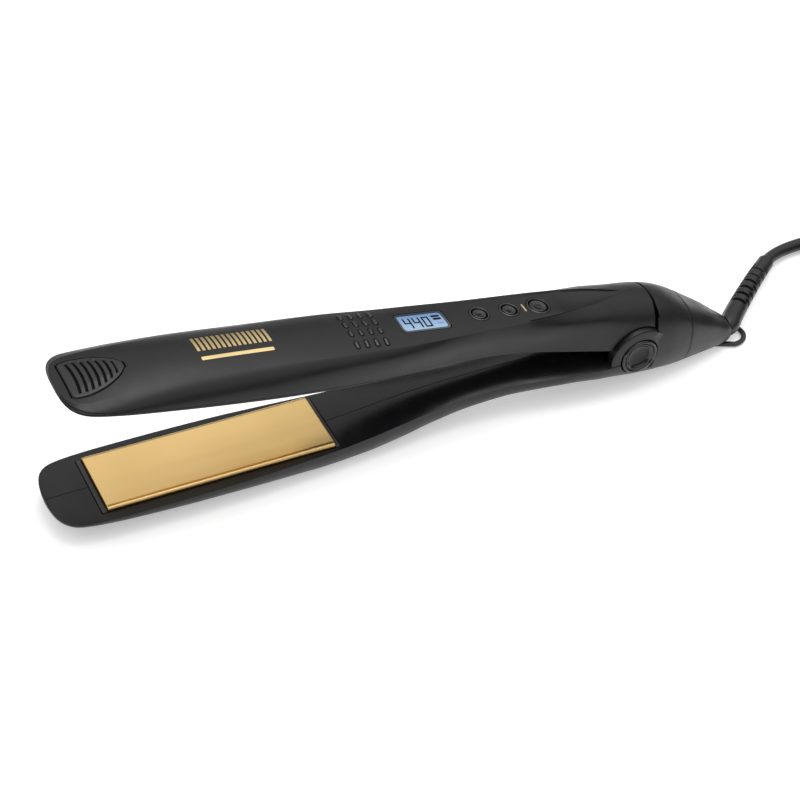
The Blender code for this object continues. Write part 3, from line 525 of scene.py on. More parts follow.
def ramp_of(material, value, low, high, start=0.3, end=0.7):
    """Map a 0 to 1 value onto a colour between low and high."""
    ramp = add_node(material.node_tree, "ValToRGB", Fac=value)
    for stop, place, colour in zip(ramp.color_ramp.elements, (start, end), (low, high)):
        stop.position = place
        stop.color = (*colour, 1.0)
    return ramp.outputs["Color"]


def vary_colour(material, value, low, high):
    feed(material.node_tree, shader_of(material), Base_Color=ramp_of(material, value, low, high))


def vary_roughness(material, value, low, high):
    tree = material.node_tree
    spread_out = add_node(tree, "MapRange", Value=value, From_Min=0.3, From_Max=0.7, To_Min=low, To_Max=high)
    feed(tree, shader_of(material), Roughness=spread_out.outputs["Result"])


def relief(material, height, distance, strength, edge):
    """Bump from a height in 0 to 1, over edges rounded by the given radius in millimetres."""
    tree = material.node_tree
    rounded = add_node(tree, "Bevel", Radius=edge * MM)
    rounded.samples = 4
    bump = add_node(tree, "Bump", Distance=distance * MM, Strength=strength, Height=height,
                    Normal=rounded.outputs["Normal"])
    feed(tree, shader_of(material), Normal=bump.outputs["Normal"])


def moulded(name, low, high, rough, grain=900.0, depth=0.02, edge=0.25, specular=0.5, **extra):
    """Moulded plastic or ground metal: fine grain, and a slow drift between two tones and two roughnesses."""
    low, high = ((tone,) * 3 if isinstance(tone, float) else tone for tone in (low, high))
    made = new_material(name, low, rough[0], Specular_IOR_Level=specular, **extra)
    vary_colour(made, noise(made, 45.0, 4.0), low, high)
    vary_roughness(made, noise(made, 120.0, 5.0), *rough)
    relief(made, noise(made, grain, 2.0), depth, 1.0, edge)
    return made


# name, darkest and lightest tone, roughness range, then grain, its depth, edge radius and specular level
SOFT = moulded("soft_touch_black", (0.0040, 0.0041, 0.0043), (0.0056, 0.0057, 0.0060), (0.32, 0.42), 2600.0,
               0.012, 0.3, 0.30)
# Painted shade: a near-black copy of the plastics, put on groove floors, joint steps and the leaf recess's
# foot where shade falls.
SHADOW = moulded("painted_recess_shade", 0.0012, 0.0018, (0.5, 0.6), 2000.0, 0.004, specular=0.08)
# Painted shade: a darker, less reflective copy of the gloss black, for the dish inside the hinge covers.
DISH_SHADE = moulded("dish_painted_shade", 0.0012, 0.0018, (0.10, 0.16), 1500.0, 0.002, specular=0.22)
HANDLE = moulded("handle_inner_gloss", (0.005, 0.005, 0.006), (0.007, 0.007, 0.008), (0.20, 0.28), 1500.0,
                 0.004, specular=0.25)
SATIN = moulded("satin_black", (0.008, 0.008, 0.009), (0.011, 0.011, 0.012), (0.30, 0.40), 2000.0, 0.008,
                0.2, 0.4)
KEY = moulded("key_black", 0.004, 0.006, (0.24, 0.32), 2000.0, 0.006, specular=0.55)
GLOSS = moulded("gloss_black", 0.003, 0.005, (0.14, 0.20), 1500.0, 0.002, 0.12)
RUBBER = moulded("rubber_black", 0.006, 0.009, (0.34, 0.44), 2200.0, 0.015, 0.15, 0.42)
SHEATH = moulded("cord_sheath", (0.010, 0.010, 0.011), (0.014, 0.014, 0.015), (0.36, 0.48), 1800.0, 0.01,
                 specular=0.35)
STRAP = moulded("woven_strap", (0.020, 0.020, 0.022), (0.034, 0.034, 0.036), (0.7, 0.85), 1400.0, 0.15)
NYLON = moulded("nylon", (0.62, 0.61, 0.58), (0.70, 0.69, 0.66), (0.38, 0.48))
HEAT_PLASTIC = moulded("heat_plastic", (0.022, 0.021, 0.020), (0.030, 0.029, 0.028), (0.52, 0.64), 2400.0,
                       0.02, 0.15)
CERAMIC = moulded("ceramic_white", (0.70, 0.68, 0.63), (0.78, 0.76, 0.70), (0.45, 0.6))
SILICONE = moulded("silicone_red", (0.42, 0.10, 0.06), (0.50, 0.13, 0.08), (0.5, 0.6))
BOARD = moulded("circuit_board", (0.02, 0.11, 0.04), (0.03, 0.15, 0.06), (0.3, 0.4))
STEEL = moulded("ground_steel", (0.52, 0.52, 0.53), (0.60, 0.60, 0.61), (0.24, 0.36), 3000.0, 0.004,
                metallic=1.0)
BRASS = moulded("plug_brass", (0.66, 0.52, 0.26), (0.74, 0.60, 0.32), (0.26, 0.38), 3000.0, 0.004,
                metallic=1.0)
INLAY = moulded("gold_inlay", (0.56, 0.43, 0.20), (0.68, 0.53, 0.27), (0.28, 0.40), 2400.0, 0.006, 0.05,
                metallic=1.0)


def plate_gold():
    made = new_material("plate_gold", (0.64, 0.44, 0.18), 0.30, 1.0)
    streaks = noise(made, 200.0, 4.0, (0.06, 1.0, 1.0))
    vary_colour(made, noise(made, 24.0, 2.0), (0.62, 0.425, 0.17), (0.67, 0.465, 0.20))
    vary_roughness(made, streaks, 0.27, 0.33)
    relief(made, streaks, 0.002, 0.5, 0.3)
    return made


GOLD = plate_gold()

# ---- camera
# The photograph's camera, found from the plates' corners, in the arm frame.
CAMERA_RIGHT = (0.8929, -0.4434, 0.0768)
CAMERA_UP = (0.2481, 0.6275, 0.7380)
CAMERA_BACK = (-0.3755, -0.6400, 0.6704)
CAMERA_POINT = (-184.57, -550.41, 574.75)


def make_camera():
    data = bpy.data.cameras.new("camera")
    data.lens = 90.0
    data.sensor_width = 36.0
    data.clip_start, data.clip_end = 0.01, 20.0
    camera = link("camera", data)
    axes = Matrix((CAMERA_RIGHT, CAMERA_UP, CAMERA_BACK)).transposed().to_4x4()
    camera.matrix_world = REST_MATRIX @ Matrix.Translation(Vector(CAMERA_POINT) * MM) @ axes
    bpy.context.scene.camera = camera


make_camera()

# ---- cord
COIL_CENTRE = (264.0, -3.0)
LEAD_KNOTS = [(207.05, 36.3, 6.2), (214.0, 40.4, 5.0), (222.0, 43.4, 4.1), (231.0, 44.8, 3.9),
              (240.0, 45.0, 3.9), (251.0, 44.0, 3.9)]
LAYER = CORD_RADIUS * 2 * sin(radians(60))
FLOOR_LAYER = 3.9
TURNS = [(45.0, 0), (39.0, 0), (33.0, 0), (27.0, 0), (30.0, 1), (36.0, 1), (42.0, 1), (39.0, 2), (33.0, 2),
         (36.0, 3)]
TURN_STEPS = 40
STEP_ARC = 70.0                    # each turn steps to the next one over this arc, after a climb over another
PLUG_ANGLE = -100.0
PLUG_HEIGHT = 24.69


def coil_point(angle_deg, radius, height):
    angle = radians(angle_deg)
    x, y = COIL_CENTRE
    return Vector((x + radius * cos(angle), y + radius * sin(angle), height))


def coil_path():
    """Turns laid beside and on each other, clockwise from above, ending at the plug."""
    points = []
    last_arc = 90.0 - PLUG_ANGLE
    total = 360.0 * (len(TURNS) - 1) + last_arc
    count = int(total / 360.0 * TURN_STEPS)
    for i in range(count + 1):
        turned_by = total * i / count
        index = min(int(turned_by // 360.0), len(TURNS) - 1)
        arc = turned_by - 360.0 * index
        radius, layer = TURNS[index]
        height = FLOOR_LAYER + LAYER * layer
        if index < len(TURNS) - 1:
            next_radius, next_layer = TURNS[index + 1]
            over = (arc - (360.0 - STEP_ARC)) / STEP_ARC
            if next_layer > layer:
                climb = ease(over + 1.0)
                height += LAYER * climb
                radius += (next_radius - radius) * ease((climb - 0.45) / 0.55)
            else:
                radius += (next_radius - radius) * ease(over)
            if over > 0 and next_layer:
                height += 0.85 * next_layer * sin(pi * over) ** 2
        else:
            rise = ease((arc - (last_arc - 35.0)) / 40.0)
            height += (PLUG_HEIGHT - height) * rise / ease(35.0 / 40.0)
        points.append(coil_point(90.0 - turned_by, radius, height))
    return points


def along_last(points, distance):
    heading = radians(PLUG_ANGLE - 90.0)
    end = points[-1] + Vector((cos(heading), sin(heading), 0.0)) * distance
    return Vector((end.x, end.y, PLUG_HEIGHT))


def mains_cord():
    route = smooth_path(LEAD_KNOTS, 12) + coil_path()
    route.append(along_last(route, 2.0))
    length = sum((b - a).length for a, b in zip(route, route[1:]))
    print(f"mains cord route {length:.0f} mm, {len(route)} points")
    cord = tube(route, lambda walked, angle: CORD_RADIUS, TABLE, 24)
    cord.name = cord.data.name = "mains_cord"
    cord.data.shade_smooth()
    cord.data.set_sharp_from_angle(angle=radians(60))
    cord.data.materials.append(SHEATH)
    return cord, route


CORD, CORD_ROUTE = mains_cord()
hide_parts("cord_lead", "cord_coil", "cord_end")
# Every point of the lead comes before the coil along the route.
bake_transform(CORD)

# ---- strain relief
RELIEF_KNOTS = [(308.7, 0.0, -12.6), (310.1, 0.1, -12.6), (312.4, 1.5, -12.6), (315.8, 4.5, -12.7),
                (321.4, 9.2, -12.9), (333.0, 18.4, -13.4), (344.5, 27.3, -14.2), (356.5, 36.0, -15.0)]
RIB_START, RIB_PITCH, RIB_COUNT = 17.5, 6.0, 6


def relief_part():
    path, length = even_path(RELIEF_KNOTS, 0.3)

    def radius_at(walked, angle):
        radius = 5.0 - walked / length
        if walked < 2.0:
            radius -= 0.25 * (1 - walked / 2.0)
        for number in range(RIB_COUNT):
            # Slots over and under the tube, and between them slots on its two sides.
            for half, centre in ((0, pi / 2), (0, 1.5 * pi), (1, 0.0), (1, pi)):
                at = RIB_START + RIB_PITCH * (number + 0.5 * half)
                if abs(walked - at) > 1.2:
                    continue
                turn = abs((angle - centre + pi) % (2 * pi) - pi)
                reach = 1.0 - ease((turn - 0.88) / 0.14)
                radius -= 1.5 * reach * (1.0 - ease((abs(walked - at) - 0.78) / 0.30))
        return radius

    item = tube(path, radius_at, REST, 72)
    return finished(item, "strain_relief_ribbed", "swivel", RUBBER, "strain_relief", sharp=60)


RELIEF = relief_part()


def moulded_plug():
    """Plug at the end of the cord, with ribs on its neck and two drilled blades."""
    heading = radians(PLUG_ANGLE - 90.0)
    place = Frame(Matrix.Translation(CORD_ROUTE[-1] * MM) @ Matrix.Rotation(heading, 4, "Z"))
    # distance from the cord, half width, half thickness
    at = smooth_table([(0.3, 4.2, 4.2), (6.0, 4.6, 4.5), (10.0, 6.0, 5.2), (16.0, 9.6, 6.4),
                       (22.0, 11.6, 7.0), (28.0, 12.0, 7.0), (29.4, 11.7, 6.7), (30.0, 11.0, 6.0)])
    blade_y, blade_half, blade_half_z = 6.35, 0.75, 3.2

    def ring(x):
        half, thick = at(x)
        rib = max(0.0, *(1.0 - ease((abs(x - 13.5 - 2.6 * number) - 0.35) / 0.45) for number in range(4)))
        quarter = ellipse_arc(half - 0.45 * rib, thick - 0.1 * rib, 2.6, 14)
        side = quarter + [(y, -z) for y, z in reversed(quarter[:-1])]
        return side + [(-y, z) for y, z in reversed(side[1:-1])]

    body = loft(spread(0.3, 28.0, 110) + [28.6, 29.1, 29.5, 29.8, 30.0], ring, place)
    blades = []
    for number, side in ((1, -1), (2, 1)):
        y, half, wide = side * blade_y, blade_half + GAP, blade_half_z + GAP
        cut(body, block((24.0 - GAP, y - half, -wide), (40.0, y + half, wide), place))
        outline = [(24.0, -3.2), (45.6, -3.2), (47.0, -1.8), (47.0, 1.8), (45.6, 3.2), (24.0, 3.2)]
        blade = skin([[(x, y + s, z) for x, z in outline] for s in (-blade_half, blade_half)], place)
        cut(blade, rod((43.0, y - 3, 0), (43.0, y + 3, 0), 1.6, place, 32))
        soften(settle(blade), 0.2, 2)
        blades.append(finished(blade, f"plug_contact_{number}", "lower_arm", BRASS, f"plug_blade_{number}"))
    return [finished(body, "plug_moulding", "lower_arm", SATIN, "plug_body")] + blades


PLUG_PIECES = moulded_plug()


def strap():
    """Hook-and-loop tie round all the turns."""
    base, top = 0.9, 0.9 + 2 * CORD_RADIUS + 2 * LAYER
    crest = top + GAP + 2 * CORD_RADIUS
    inner = [(-12.9, base - GAP), (12.3, base - GAP), (12.3, 7.3), (6.6, top + GAP), (2.6, crest + 0.4),
             (-2.6, crest + 0.4), (-6.6, top + GAP), (-12.9, 7.3)]
    outer = [(-13.5, 0.1), (12.9, 0.1), (12.9, 7.5), (7.1, top + 0.6), (2.9, crest + 1.0),
             (-2.9, crest + 1.0), (-7.1, top + 0.6), (-13.5, 7.5)]
    angle, middle_radius, half_width = 60.0, 36.0, 5.0
    place = Frame(Matrix.Translation(coil_point(angle, middle_radius, 0.0) * MM)
                  @ Matrix.Rotation(radians(angle), 4, "Z"))
    rings = [[(r, y, z) for r, z in line] for line, y in
             ((outer, -half_width), (outer, half_width), (inner, half_width), (inner, -half_width))]
    band = soften(skin(rings, place, closed=True), 0.25, 2)
    return finished(band, "cord_strap", "lower_arm", STRAP, "cord_tie")


TIE = strap()

# ---- lower arm
def outer_band(toward, offset, ring, depth):
    """The outer skin next to the groove, to the given depth, which is cut back to show a wide joint, whose
    step gets painted shade.
    """
    band = groove_space(toward, offset)
    return combine(band, loft(spread(240.0, 268.0, 15), lambda x: ring(x, depth), REST))


def cheek(sign):
    """Round boss beside the hinge, kept to the front of the groove and above the housing's side."""
    inner_y = 11.0
    thick = CHEEK_FACE - inner_y
    edge = [(0.0, 0.0), (BOSS_RADIUS, 0.0), (BOSS_RADIUS, thick - 0.7), (BOSS_RADIUS - 0.1, thick - 0.32),
            (BOSS_RADIUS - 0.38, thick - 0.08), (BOSS_RADIUS - 0.8, thick), (0.0, thick)]
    boss = turned((HINGE_X, sign * inner_y, HINGE_Z), (0, sign, 0), edge, REST, 128)
    limit = [(220.0, 30.0), (255.5, 30.0), (255.5, 17.3), (264.0, 15.0)]
    limit += [(x, -y) for x, y in reversed(limit)]
    return combine(boss, plan_slab(limit, -2.0, 30.0, REST), "INTERSECT")


def lower_housing():
    """Near and far half: arm, handle and hinge housing, with the real seam between them."""
    arm_xs = TIP_XS + spread(0.0, 100.0, 26) + spread(102.5, 262.0, 74)
    hollow_xs = [-8.0, -4.0] + spread(2.0, 100.0, 5) + spread(112.0, 248.0, 10)
    half = PLATE_WIDTH / 2 + GAP
    for side, sign in (("near", -1), ("far", 1)):
        rear = loft(spread(251.0, RING_X - GAP / 2, 22), tail_ring, REST)
        cut(rear, groove_space(-1, 0.4), outer_band(-1, 1.05, tail_ring, 0.8))
        rear_hollow = loft(spread(246.0, RING_X + 1.0, 5), lambda x: tail_ring(x, WALL + 0.3), REST)
        combine(rear_hollow, block((236.0, -13.0, -15.5), (RING_X + 2.0, 13.0, 30.0), REST), "INTERSECT")
        shell = loft(arm_xs, lower_ring, REST)
        combine(shell, rear, "UNION")
        combine(shell, cheek(sign), "UNION")
        cut(shell, loft(hollow_xs, lambda x: lower_ring(x, WALL), REST), rear_hollow,
            block((233.5, -BAY_HALF, -9.5), (258.8, BAY_HALF, 30.0), REST),
            block((-2.6, -half, -5.6), (PLATE_LENGTH + 2.6, half, 1.0), REST),
            rod((HINGE_X, -20.0, HINGE_Z), (HINGE_X, 20.0, HINGE_Z), PIN_RADIUS + GAP, REST),
            rod((HINGE_X, sign * 15.0, HINGE_Z), (HINGE_X, sign * 22.0, HINGE_Z), COVER_RADIUS + GAP, REST,
                96))
        edges = sorted((sign * SEAM / 2, sign * 40.0))
        combine(shell, block((-30.0, edges[0], -40.0), (320.0, edges[1], 40.0), REST), "INTERSECT")
        cut(shell, block((-200.0, -40.0, -10.0), (200.0, 40.0, 0.0), TABLE))
        finished(shell, f"lower_housing_{side}", "lower_arm", SOFT, f"lower_shell_{side}")
        paint_where(shell, HANDLE, REST, inner_handle)
        # Painted shade on the floor of the step beside the groove.
        paint_where(shell, SHADOW, REST, joint_step_shade(0.35, 1.03))


def inner_handle(centre, normal):
    """The inner face of the handle, between plate and hinge, which is polished."""
    rim = lower_at(centre.x)[1]
    return 103.0 < centre.x < 233.5 and centre.z > rim - 0.05 and normal.z > 0.35


def joint_step_shade(low, high):
    """Faces of the step beside the groove, between two distances from its middle line, which get painted
    shade.
    """
    return lambda centre, normal: (low < centre.x - groove_wall(centre.y) < high and centre.z > -14.0)


def leaf_foot_shadow(centre, normal):
    """Foot of the leaf-shaped recess on the near side, which gets a painted shadow line."""
    if not 188.0 < centre.x < 239.0 or centre.y > 0.0 or centre.z < upper_surface(centre.x, centre.y) - 1.6:
        return False
    share = -centre.y / upper_at(centre.x)[2]
    return 0.875 < share < 0.955


def hinge_hardware():
    """Round covers with a raised bright rim, and a dish inside it that gets painted shade: a darker, less
    reflective black.
    """
    cover = [(0.0, 0.0), (8.95, 0.0), (8.95, 1.75), (8.85, 2.1), (8.6, 2.42), (8.2, 2.58), (7.85, 2.55),
             (7.6, 2.3), (7.48, 1.95), (7.3, 1.8), (7.1, 1.82), (6.95, 2.05), (6.75, 2.28), (6.45, 2.32),
             (6.15, 2.15), (5.85, 1.75), (5.5, 1.4), (4.8, 1.12), (3.6, 0.9), (2.0, 0.78), (0.0, 0.74)]
    shaded_dish_radius = 5.6
    for side, sign in (("near", -1), ("far", 1)):
        item = turned((HINGE_X, sign * 15.3, HINGE_Z), (0, sign, 0), cover, REST, 96)
        finished(item, f"hinge_cap_{side}", "lower_arm", GLOSS, f"hinge_cover_{side}")
        # Painted shade on the dish inside the rim.
        paint_where(item, DISH_SHADE, REST,
                    lambda centre, normal: hypot(centre.x - HINGE_X, centre.z - HINGE_Z) < shaded_dish_radius)


def tail():
    """Tapered cap behind the ring joint, with the swivel's bore and a recess for the loop's tab."""
    start = RING_X + GAP / 2
    xs = [start, start + 0.25] + spread(start + 1.0, 302.0, 34)
    xs += [303.5, 304.5, 305.5, 306.3, 307.0, 307.5, 307.9, 308.2]

    def ring(x):
        # a small rounded edge at the ring joint and at the nose
        inset = 0.25 * (1 - ease((x - start) / 0.6)) + 0.35 * ease((x - 307.3) / 0.9)
        return tail_ring(x, inset)

    tab = [(293.3 - GAP, 4.1 + GAP), (302.0, 4.1 + GAP), (312.0, 9.2 + GAP)]
    tab += [(x, -y) for x, y in reversed(tab)]
    cap = cut(loft(xs, ring, REST),
              loft([start - 1.0] + spread(282.0, 304.0, 8), lambda x: tail_ring(x, WALL), REST),
              rod((300.0, 0.0, SWIVEL_Z), (312.0, 0.0, SWIVEL_Z), 3.8 + GAP, REST, 48),
              plan_slab(tab, -25.0, LOOP_HIGH + GAP, REST),
              block((0.0, -40.0, -10.0), (200.0, 40.0, 0.0), TABLE))
    finished(cap, "tail_cap_moulding", "lower_arm", SOFT, "tail_cap")


def hanging_loop():
    """Flat eye behind the tail, on a tab that is let into its underside."""
    eye_x, outer, width = 312.2, 7.8, 2.3
    outline, hole = [], []
    for angle in (radians(a) for a in spread(-100.0, 100.0, 49)):
        outline.append((eye_x + (outer + 0.6) * cos(angle), outer * sin(angle)))
        hole.append((eye_x + (outer + 0.6 - width) * cos(angle), (outer - width) * sin(angle)))
    outline += [(302.0, 4.1), (293.3, 4.1), (293.3, -4.1), (302.0, -4.1)]
    hole += [(307.6, 3.6), (307.6, -3.6)]
    loop = cut(plan_slab(outline, LOOP_LOW, LOOP_HIGH, REST), plan_slab(hole, -25.0, -10.0, REST))
    soften(settle(loop), 0.55, 3, 40.0)
    finished(loop, "hanging_eye", "lower_arm", SATIN, "hang_loop")


def plates():
    """Both gold plates, with the long edges stepped and rounded."""
    half = PLATE_WIDTH / 2
    # distance from the middle line, and drop below the face
    long_edge = [(half - 2.0, 0.0), (half - 1.6, 0.0), (half - 1.35, 0.05), (half - 0.75, 0.22),
                 (half - 0.35, 0.42), (half - 0.1, 0.72), (half, 1.1), (half, PLATE_THICKNESS)]
    for arm, place, sign in (("lower", REST, -1), ("upper", UPPER, 1)):
        outline = [(y, sign * (PLATE_GAP + drop)) for y, drop in long_edge]
        outline += [(-y, z) for y, z in reversed(outline)]
        plate = skin([[(x, y, z) for y, z in outline] for x in (0.0, PLATE_LENGTH)], place)
        soften(plate, 0.4, 4, 50.0)
        finished(plate, f"{arm}_gold_plate", f"{arm}_arm", GOLD, f"{arm}_plate")


lower_housing()
hinge_hardware()
tail()
hanging_loop()
plates()


# ---- upper arm
THUMB_STATIONS = [(-16.6, 9.4), (-15.0, 10.6), (-11.0, 10.8), (-5.0, 9.6), (1.0, 6.9), (5.0, 3.8), (7.0, 1.0)]
thumb_at = smooth_table(THUMB_STATIONS)
THUMB_FRONT, THUMB_REAR = THUMB_STATIONS[0][0], THUMB_STATIONS[-1][0]
THUMB_GROOVES = [-13.6, -10.9, -8.2, -5.5, -2.8, -0.1, 2.6]


def thumb_ring(x, margin, low, high, count=7):
    half = float(thumb_at(x)[0]) + margin
    across = spread(-half, half, count)
    over = [(y, upper_surface(x, y) + high) for y in across]
    under = [(y, upper_surface(x, y) + low) for y in reversed(across)]
    return over + under


def thumb_inside(x, y, half):
    """Distance from the pad's border, less steep along its pointed rear."""
    return min(half - abs(y), x - THUMB_FRONT, (THUMB_REAR - x) * 0.55)


def thumb_cut(x, y, half):
    """Share of a groove's depth at a point of the pad."""
    bow = 0.9 * (1 - (y / half) ** 2)
    deepest = max(1.0 - ease((abs(x - at - bow) - 0.34) / 0.26) for at in THUMB_GROOVES)
    return deepest * ease((thumb_inside(x, y, half) - 1.7) / 0.5)


def thumb_pad():
    """Rubber pad with a rounded border and seven grooves across it, with painted shade in the grooves."""
    def section(x):
        half = float(thumb_at(x)[0])
        over = []
        for y in spread(-half, half, 61):
            inside = thumb_inside(x, y, half)
            edge = 0.55 * sqrt(1 - (1 - min(inside / 0.9, 1.0)) ** 2) if inside > 0 else 0.0
            dome = 0.40 * ease((inside - 0.8) / 5.0)
            over.append((y, upper_surface(x, y) - 0.22 + edge + dome - 0.80 * thumb_cut(x, y, half)))
        return over + [(y, upper_surface(x, y) - 0.8) for y in reversed(spread(-half, half, 61))]

    pad = loft(spread(THUMB_FRONT, THUMB_REAR, 190), section, UPPER)
    finished(pad, "thumb_pad", "upper_arm", RUBBER, "thumb_rest", sharp=70)
    # Painted shade in the grooves: their deeper faces get the near-black recess material.
    paint_where(pad, SHADOW, UPPER, lambda centre, normal: centre.z > upper_surface(centre.x, centre.y) - 1.5
                and thumb_cut(centre.x, centre.y, float(thumb_at(centre.x)[0])) > 0.45)


# middle and length of each row of grip bars across the arm, in millimetres
GRIP_ROWS = [(-9.3, 4.0), (-3.0, 3.5), (2.6, 3.6), (8.5, 3.9)]
GRIP_XS = [104.2, 108.8, 113.4, 118.0]
GRIP_HALF = 0.85


def joined(items):
    """Put several simple meshes together as one object."""
    points, faces = [], []
    for item in items:
        start = len(points)
        points += [tuple(v.co) for v in item.data.vertices]
        faces += [tuple(start + i for i in face.vertices) for face in item.data.polygons]
        bpy.data.objects.remove(item, do_unlink=True)
    mesh = bpy.data.meshes.new("shape")
    mesh.from_pydata(points, [], faces)
    return link("shape", mesh)


def grip_shapes(margin, low, high, swell=0.0):
    """Sixteen round-ended bars across the top face: flat-topped pockets, or bars with a swelling top."""
    bars = []
    for row, (middle, length) in enumerate(GRIP_ROWS):
        for column, x in enumerate(GRIP_XS):
            x += 0.35 if row == 3 else 0.0
            half, reach = GRIP_HALF + margin, length / 2 + margin
            steps = [half * (1 - cos(pi / 2 * j / 6)) for j in range(7)]
            steps[0] = 0.03
            stops = [-reach + s for s in steps] + spread(half - reach, reach - half, 6)[1:-1]
            stops += [reach - s for s in reversed(steps)]
            rings = []
            for across in stops:
                beyond = max(abs(across) - (reach - half), 0.0) / half
                wide = half * sqrt(max(1 - beyond ** 2, 0.0))
                ring = []
                for j in range(11):
                    turn = pi * j / 10
                    px, y = x + wide * cos(turn), middle + across
                    ring.append((px, y, upper_surface(px, y) + high + swell * wide / half * sin(turn)))
                ring += [(x + side * wide, middle + across, upper_surface(x, middle + across) + low)
                         for side in (-1, 1)]
                rings.append(ring)
            bars.append(skin(rings, UPPER))
    return joined(bars)


def upper_casing():
    """Top shell of the upper arm, with its openings, thumb recess and grip pockets."""
    xs = TIP_XS + spread(0.0, 98.0, 26) + spread(100.0, 262.0, 82)
    hollow_xs = [-16.5, -13.0, -8.0] + spread(0.0, 98.0, 5) + spread(110.0, 250.0, 12)
    half_x, half_y = SCREEN_HALF
    shell = cut(loft(xs, upper_ring, UPPER),
                block((-40.0, -40.0, -10.0), (300.0, 40.0, UPPER_RIM), UPPER),
                loft(hollow_xs, lambda x: upper_ring(x, WALL, -3.0), UPPER),
                groove_space(1, -0.4), outer_band(1, -0.75, upper_ring, 0.8),
                rod((HINGE_X, -30.0, HINGE_Z), (HINGE_X, 30.0, HINGE_Z), BOSS_RADIUS + 0.6, UPPER, 128),
                rounded_slab(SCREEN_X, half_x + GAP, half_y + GAP, 1.9, 12.0, 26.0, UPPER))
    for name, x, radius in BUTTONS:
        top = Vector((x, 0.0, upper_surface(x, 0.0)))
        depth = top_normal(x) * 6.0
        cut(shell, rod(top - depth, top + depth, radius + KEY_RING_WIDTH + GAP * 0.4, UPPER, 64))
    cut(shell, loft([THUMB_FRONT - 0.5] + spread(THUMB_FRONT, THUMB_REAR, 40)[1:-1] + [THUMB_REAR + 0.5],
                    lambda x: thumb_ring(x, 0.5, -0.8 - GAP, 3.0, 15), UPPER),
        grip_shapes(0.32, -0.55, 1.5))
    finished(shell, "upper_casing", "upper_arm", SOFT, "upper_shell")
    # Painted shade on the step beside the groove.
    paint_where(shell, SHADOW, REST, joint_step_shade(-0.73, -0.35))
    # Painted shadow line at the foot of the leaf recess, on the near side only.
    paint_where(shell, SHADOW, UPPER, leaf_foot_shadow)


def rounded_slab(x, half_x, half_y, corner, low, high, place):
    """Upright slab over a rectangle with round corners."""
    outline = []
    for sx, sy, start in ((1, 1, 0), (-1, 1, 90), (-1, -1, 180), (1, -1, 270)):
        for angle in (radians(a) for a in spread(start, start + 90.0, 8)):
            outline.append((x + sx * (half_x - corner) + corner * cos(angle),
                            sy * (half_y - corner) + corner * sin(angle)))
    return plan_slab(outline, low, high, place)


def plate_frame():
    """Underside of the upper arm round its plate."""
    rim = loft(TIP_XS + spread(0.0, 98.0, 26) + spread(101.0, 136.0, 14), upper_ring, UPPER)
    combine(rim, block((-40.0, -40.0, -5.0), (FRAME_END, 40.0, UPPER_RIM - GAP * 0.6), UPPER), "INTERSECT")
    half = PLATE_WIDTH / 2 + GAP
    cut(rim, block((-2.6, -half, 0.0), (PLATE_LENGTH + 2.6, half, 8.0), UPPER))
    finished(rim, "upper_frame", "upper_arm", SOFT, "upper_plate_frame")


upper_casing()
thumb_pad()
plate_frame()

# ---- details of the upper arm
def surface_strip(x0, x1, y0, y1, low, high, corner, steps=16, across=6):
    """Thin strip with round corners that follows the upper arm's top face."""
    middle, half = (y0 + y1) / 2, (y1 - y0) / 2
    ends = 6 if corner > 0 else 2
    xs = sorted(set(spread(x0, x0 + corner, ends) + spread(x0 + corner, x1 - corner, steps)
                    + spread(x1 - corner, x1, ends)))

    def section(x):
        edge = min(x - x0, x1 - x)
        reach = half
        if edge < corner:
            reach = half - corner + sqrt(max(corner ** 2 - (corner - edge) ** 2, 0.0))
        ys = spread(middle - max(reach, 0.02), middle + max(reach, 0.02), across)
        over = [(y, upper_surface(x, y) + high) for y in ys]
        return over + [(y, upper_surface(x, y) + low) for y in reversed(ys)]

    return loft(xs, section, UPPER)


def display_light():
    """Backlit panel: pale blue, a little brighter towards the near left corner, under a clear coat."""
    made = new_material("display_light", (0.04, 0.08, 0.14), 0.3, Coat_Weight=1.0, Coat_Roughness=0.06,
                        Emission_Strength=0.50)
    tree = made.node_tree
    split = add_node(tree, "SeparateXYZ", Vector=add_node(tree, "TexCoord").outputs["Object"])
    spot = add_node(tree, "MapRange", Value=split.outputs["Y"], From_Min=UPPER.metres((0, 5.5, 0)).y,
                    From_Max=UPPER.metres((0, -5.5, 0)).y)
    mixed = tree.nodes.new("ShaderNodeMath")
    mixed.operation = "MULTIPLY_ADD"
    mixed.inputs[1].default_value = 0.25
    tree.links.new(noise(made, 160.0, 2.0), mixed.inputs[0])
    tree.links.new(spot.outputs["Result"], mixed.inputs[2])
    glow = ramp_of(made, mixed.outputs["Value"], (0.16, 0.32, 0.66), (0.46, 0.70, 1.0), 0.15, 1.1)
    feed(tree, shader_of(made), Emission_Color=glow)
    return made


DISPLAY_RIM = moulded("display_rim_navy", (0.006, 0.010, 0.020), (0.009, 0.015, 0.028), (0.10, 0.16), 1500.0,
                      0.002, Coat_Weight=0.6, Coat_Roughness=0.08)
DISPLAY_INK = moulded("display_ink", (0.001, 0.002, 0.010), (0.002, 0.003, 0.014), (0.30, 0.38), 1500.0,
                      0.002, specular=0.1)
DISPLAY_FAINT = moulded("display_faint", (0.16, 0.20, 0.38), (0.20, 0.25, 0.44), (0.24, 0.32), 1500.0, 0.002)

PANEL_TOP = -0.40                  # below the arm's top face
PRINT_LOW, PRINT_HIGH = PANEL_TOP - 0.02, PANEL_TOP + 0.03
SEGMENTS = {"4": "bcfg", "0": "abcdef"}
DIGITS = [("4", 130.9), ("4", 135.4), ("0", 139.9)]      # figure, and where it starts along the arm
DIGIT_WIDTH, DIGIT_HEIGHT, DIGIT_TOP, DIGIT_THICK = 3.4, 6.6, 3.0, 0.78


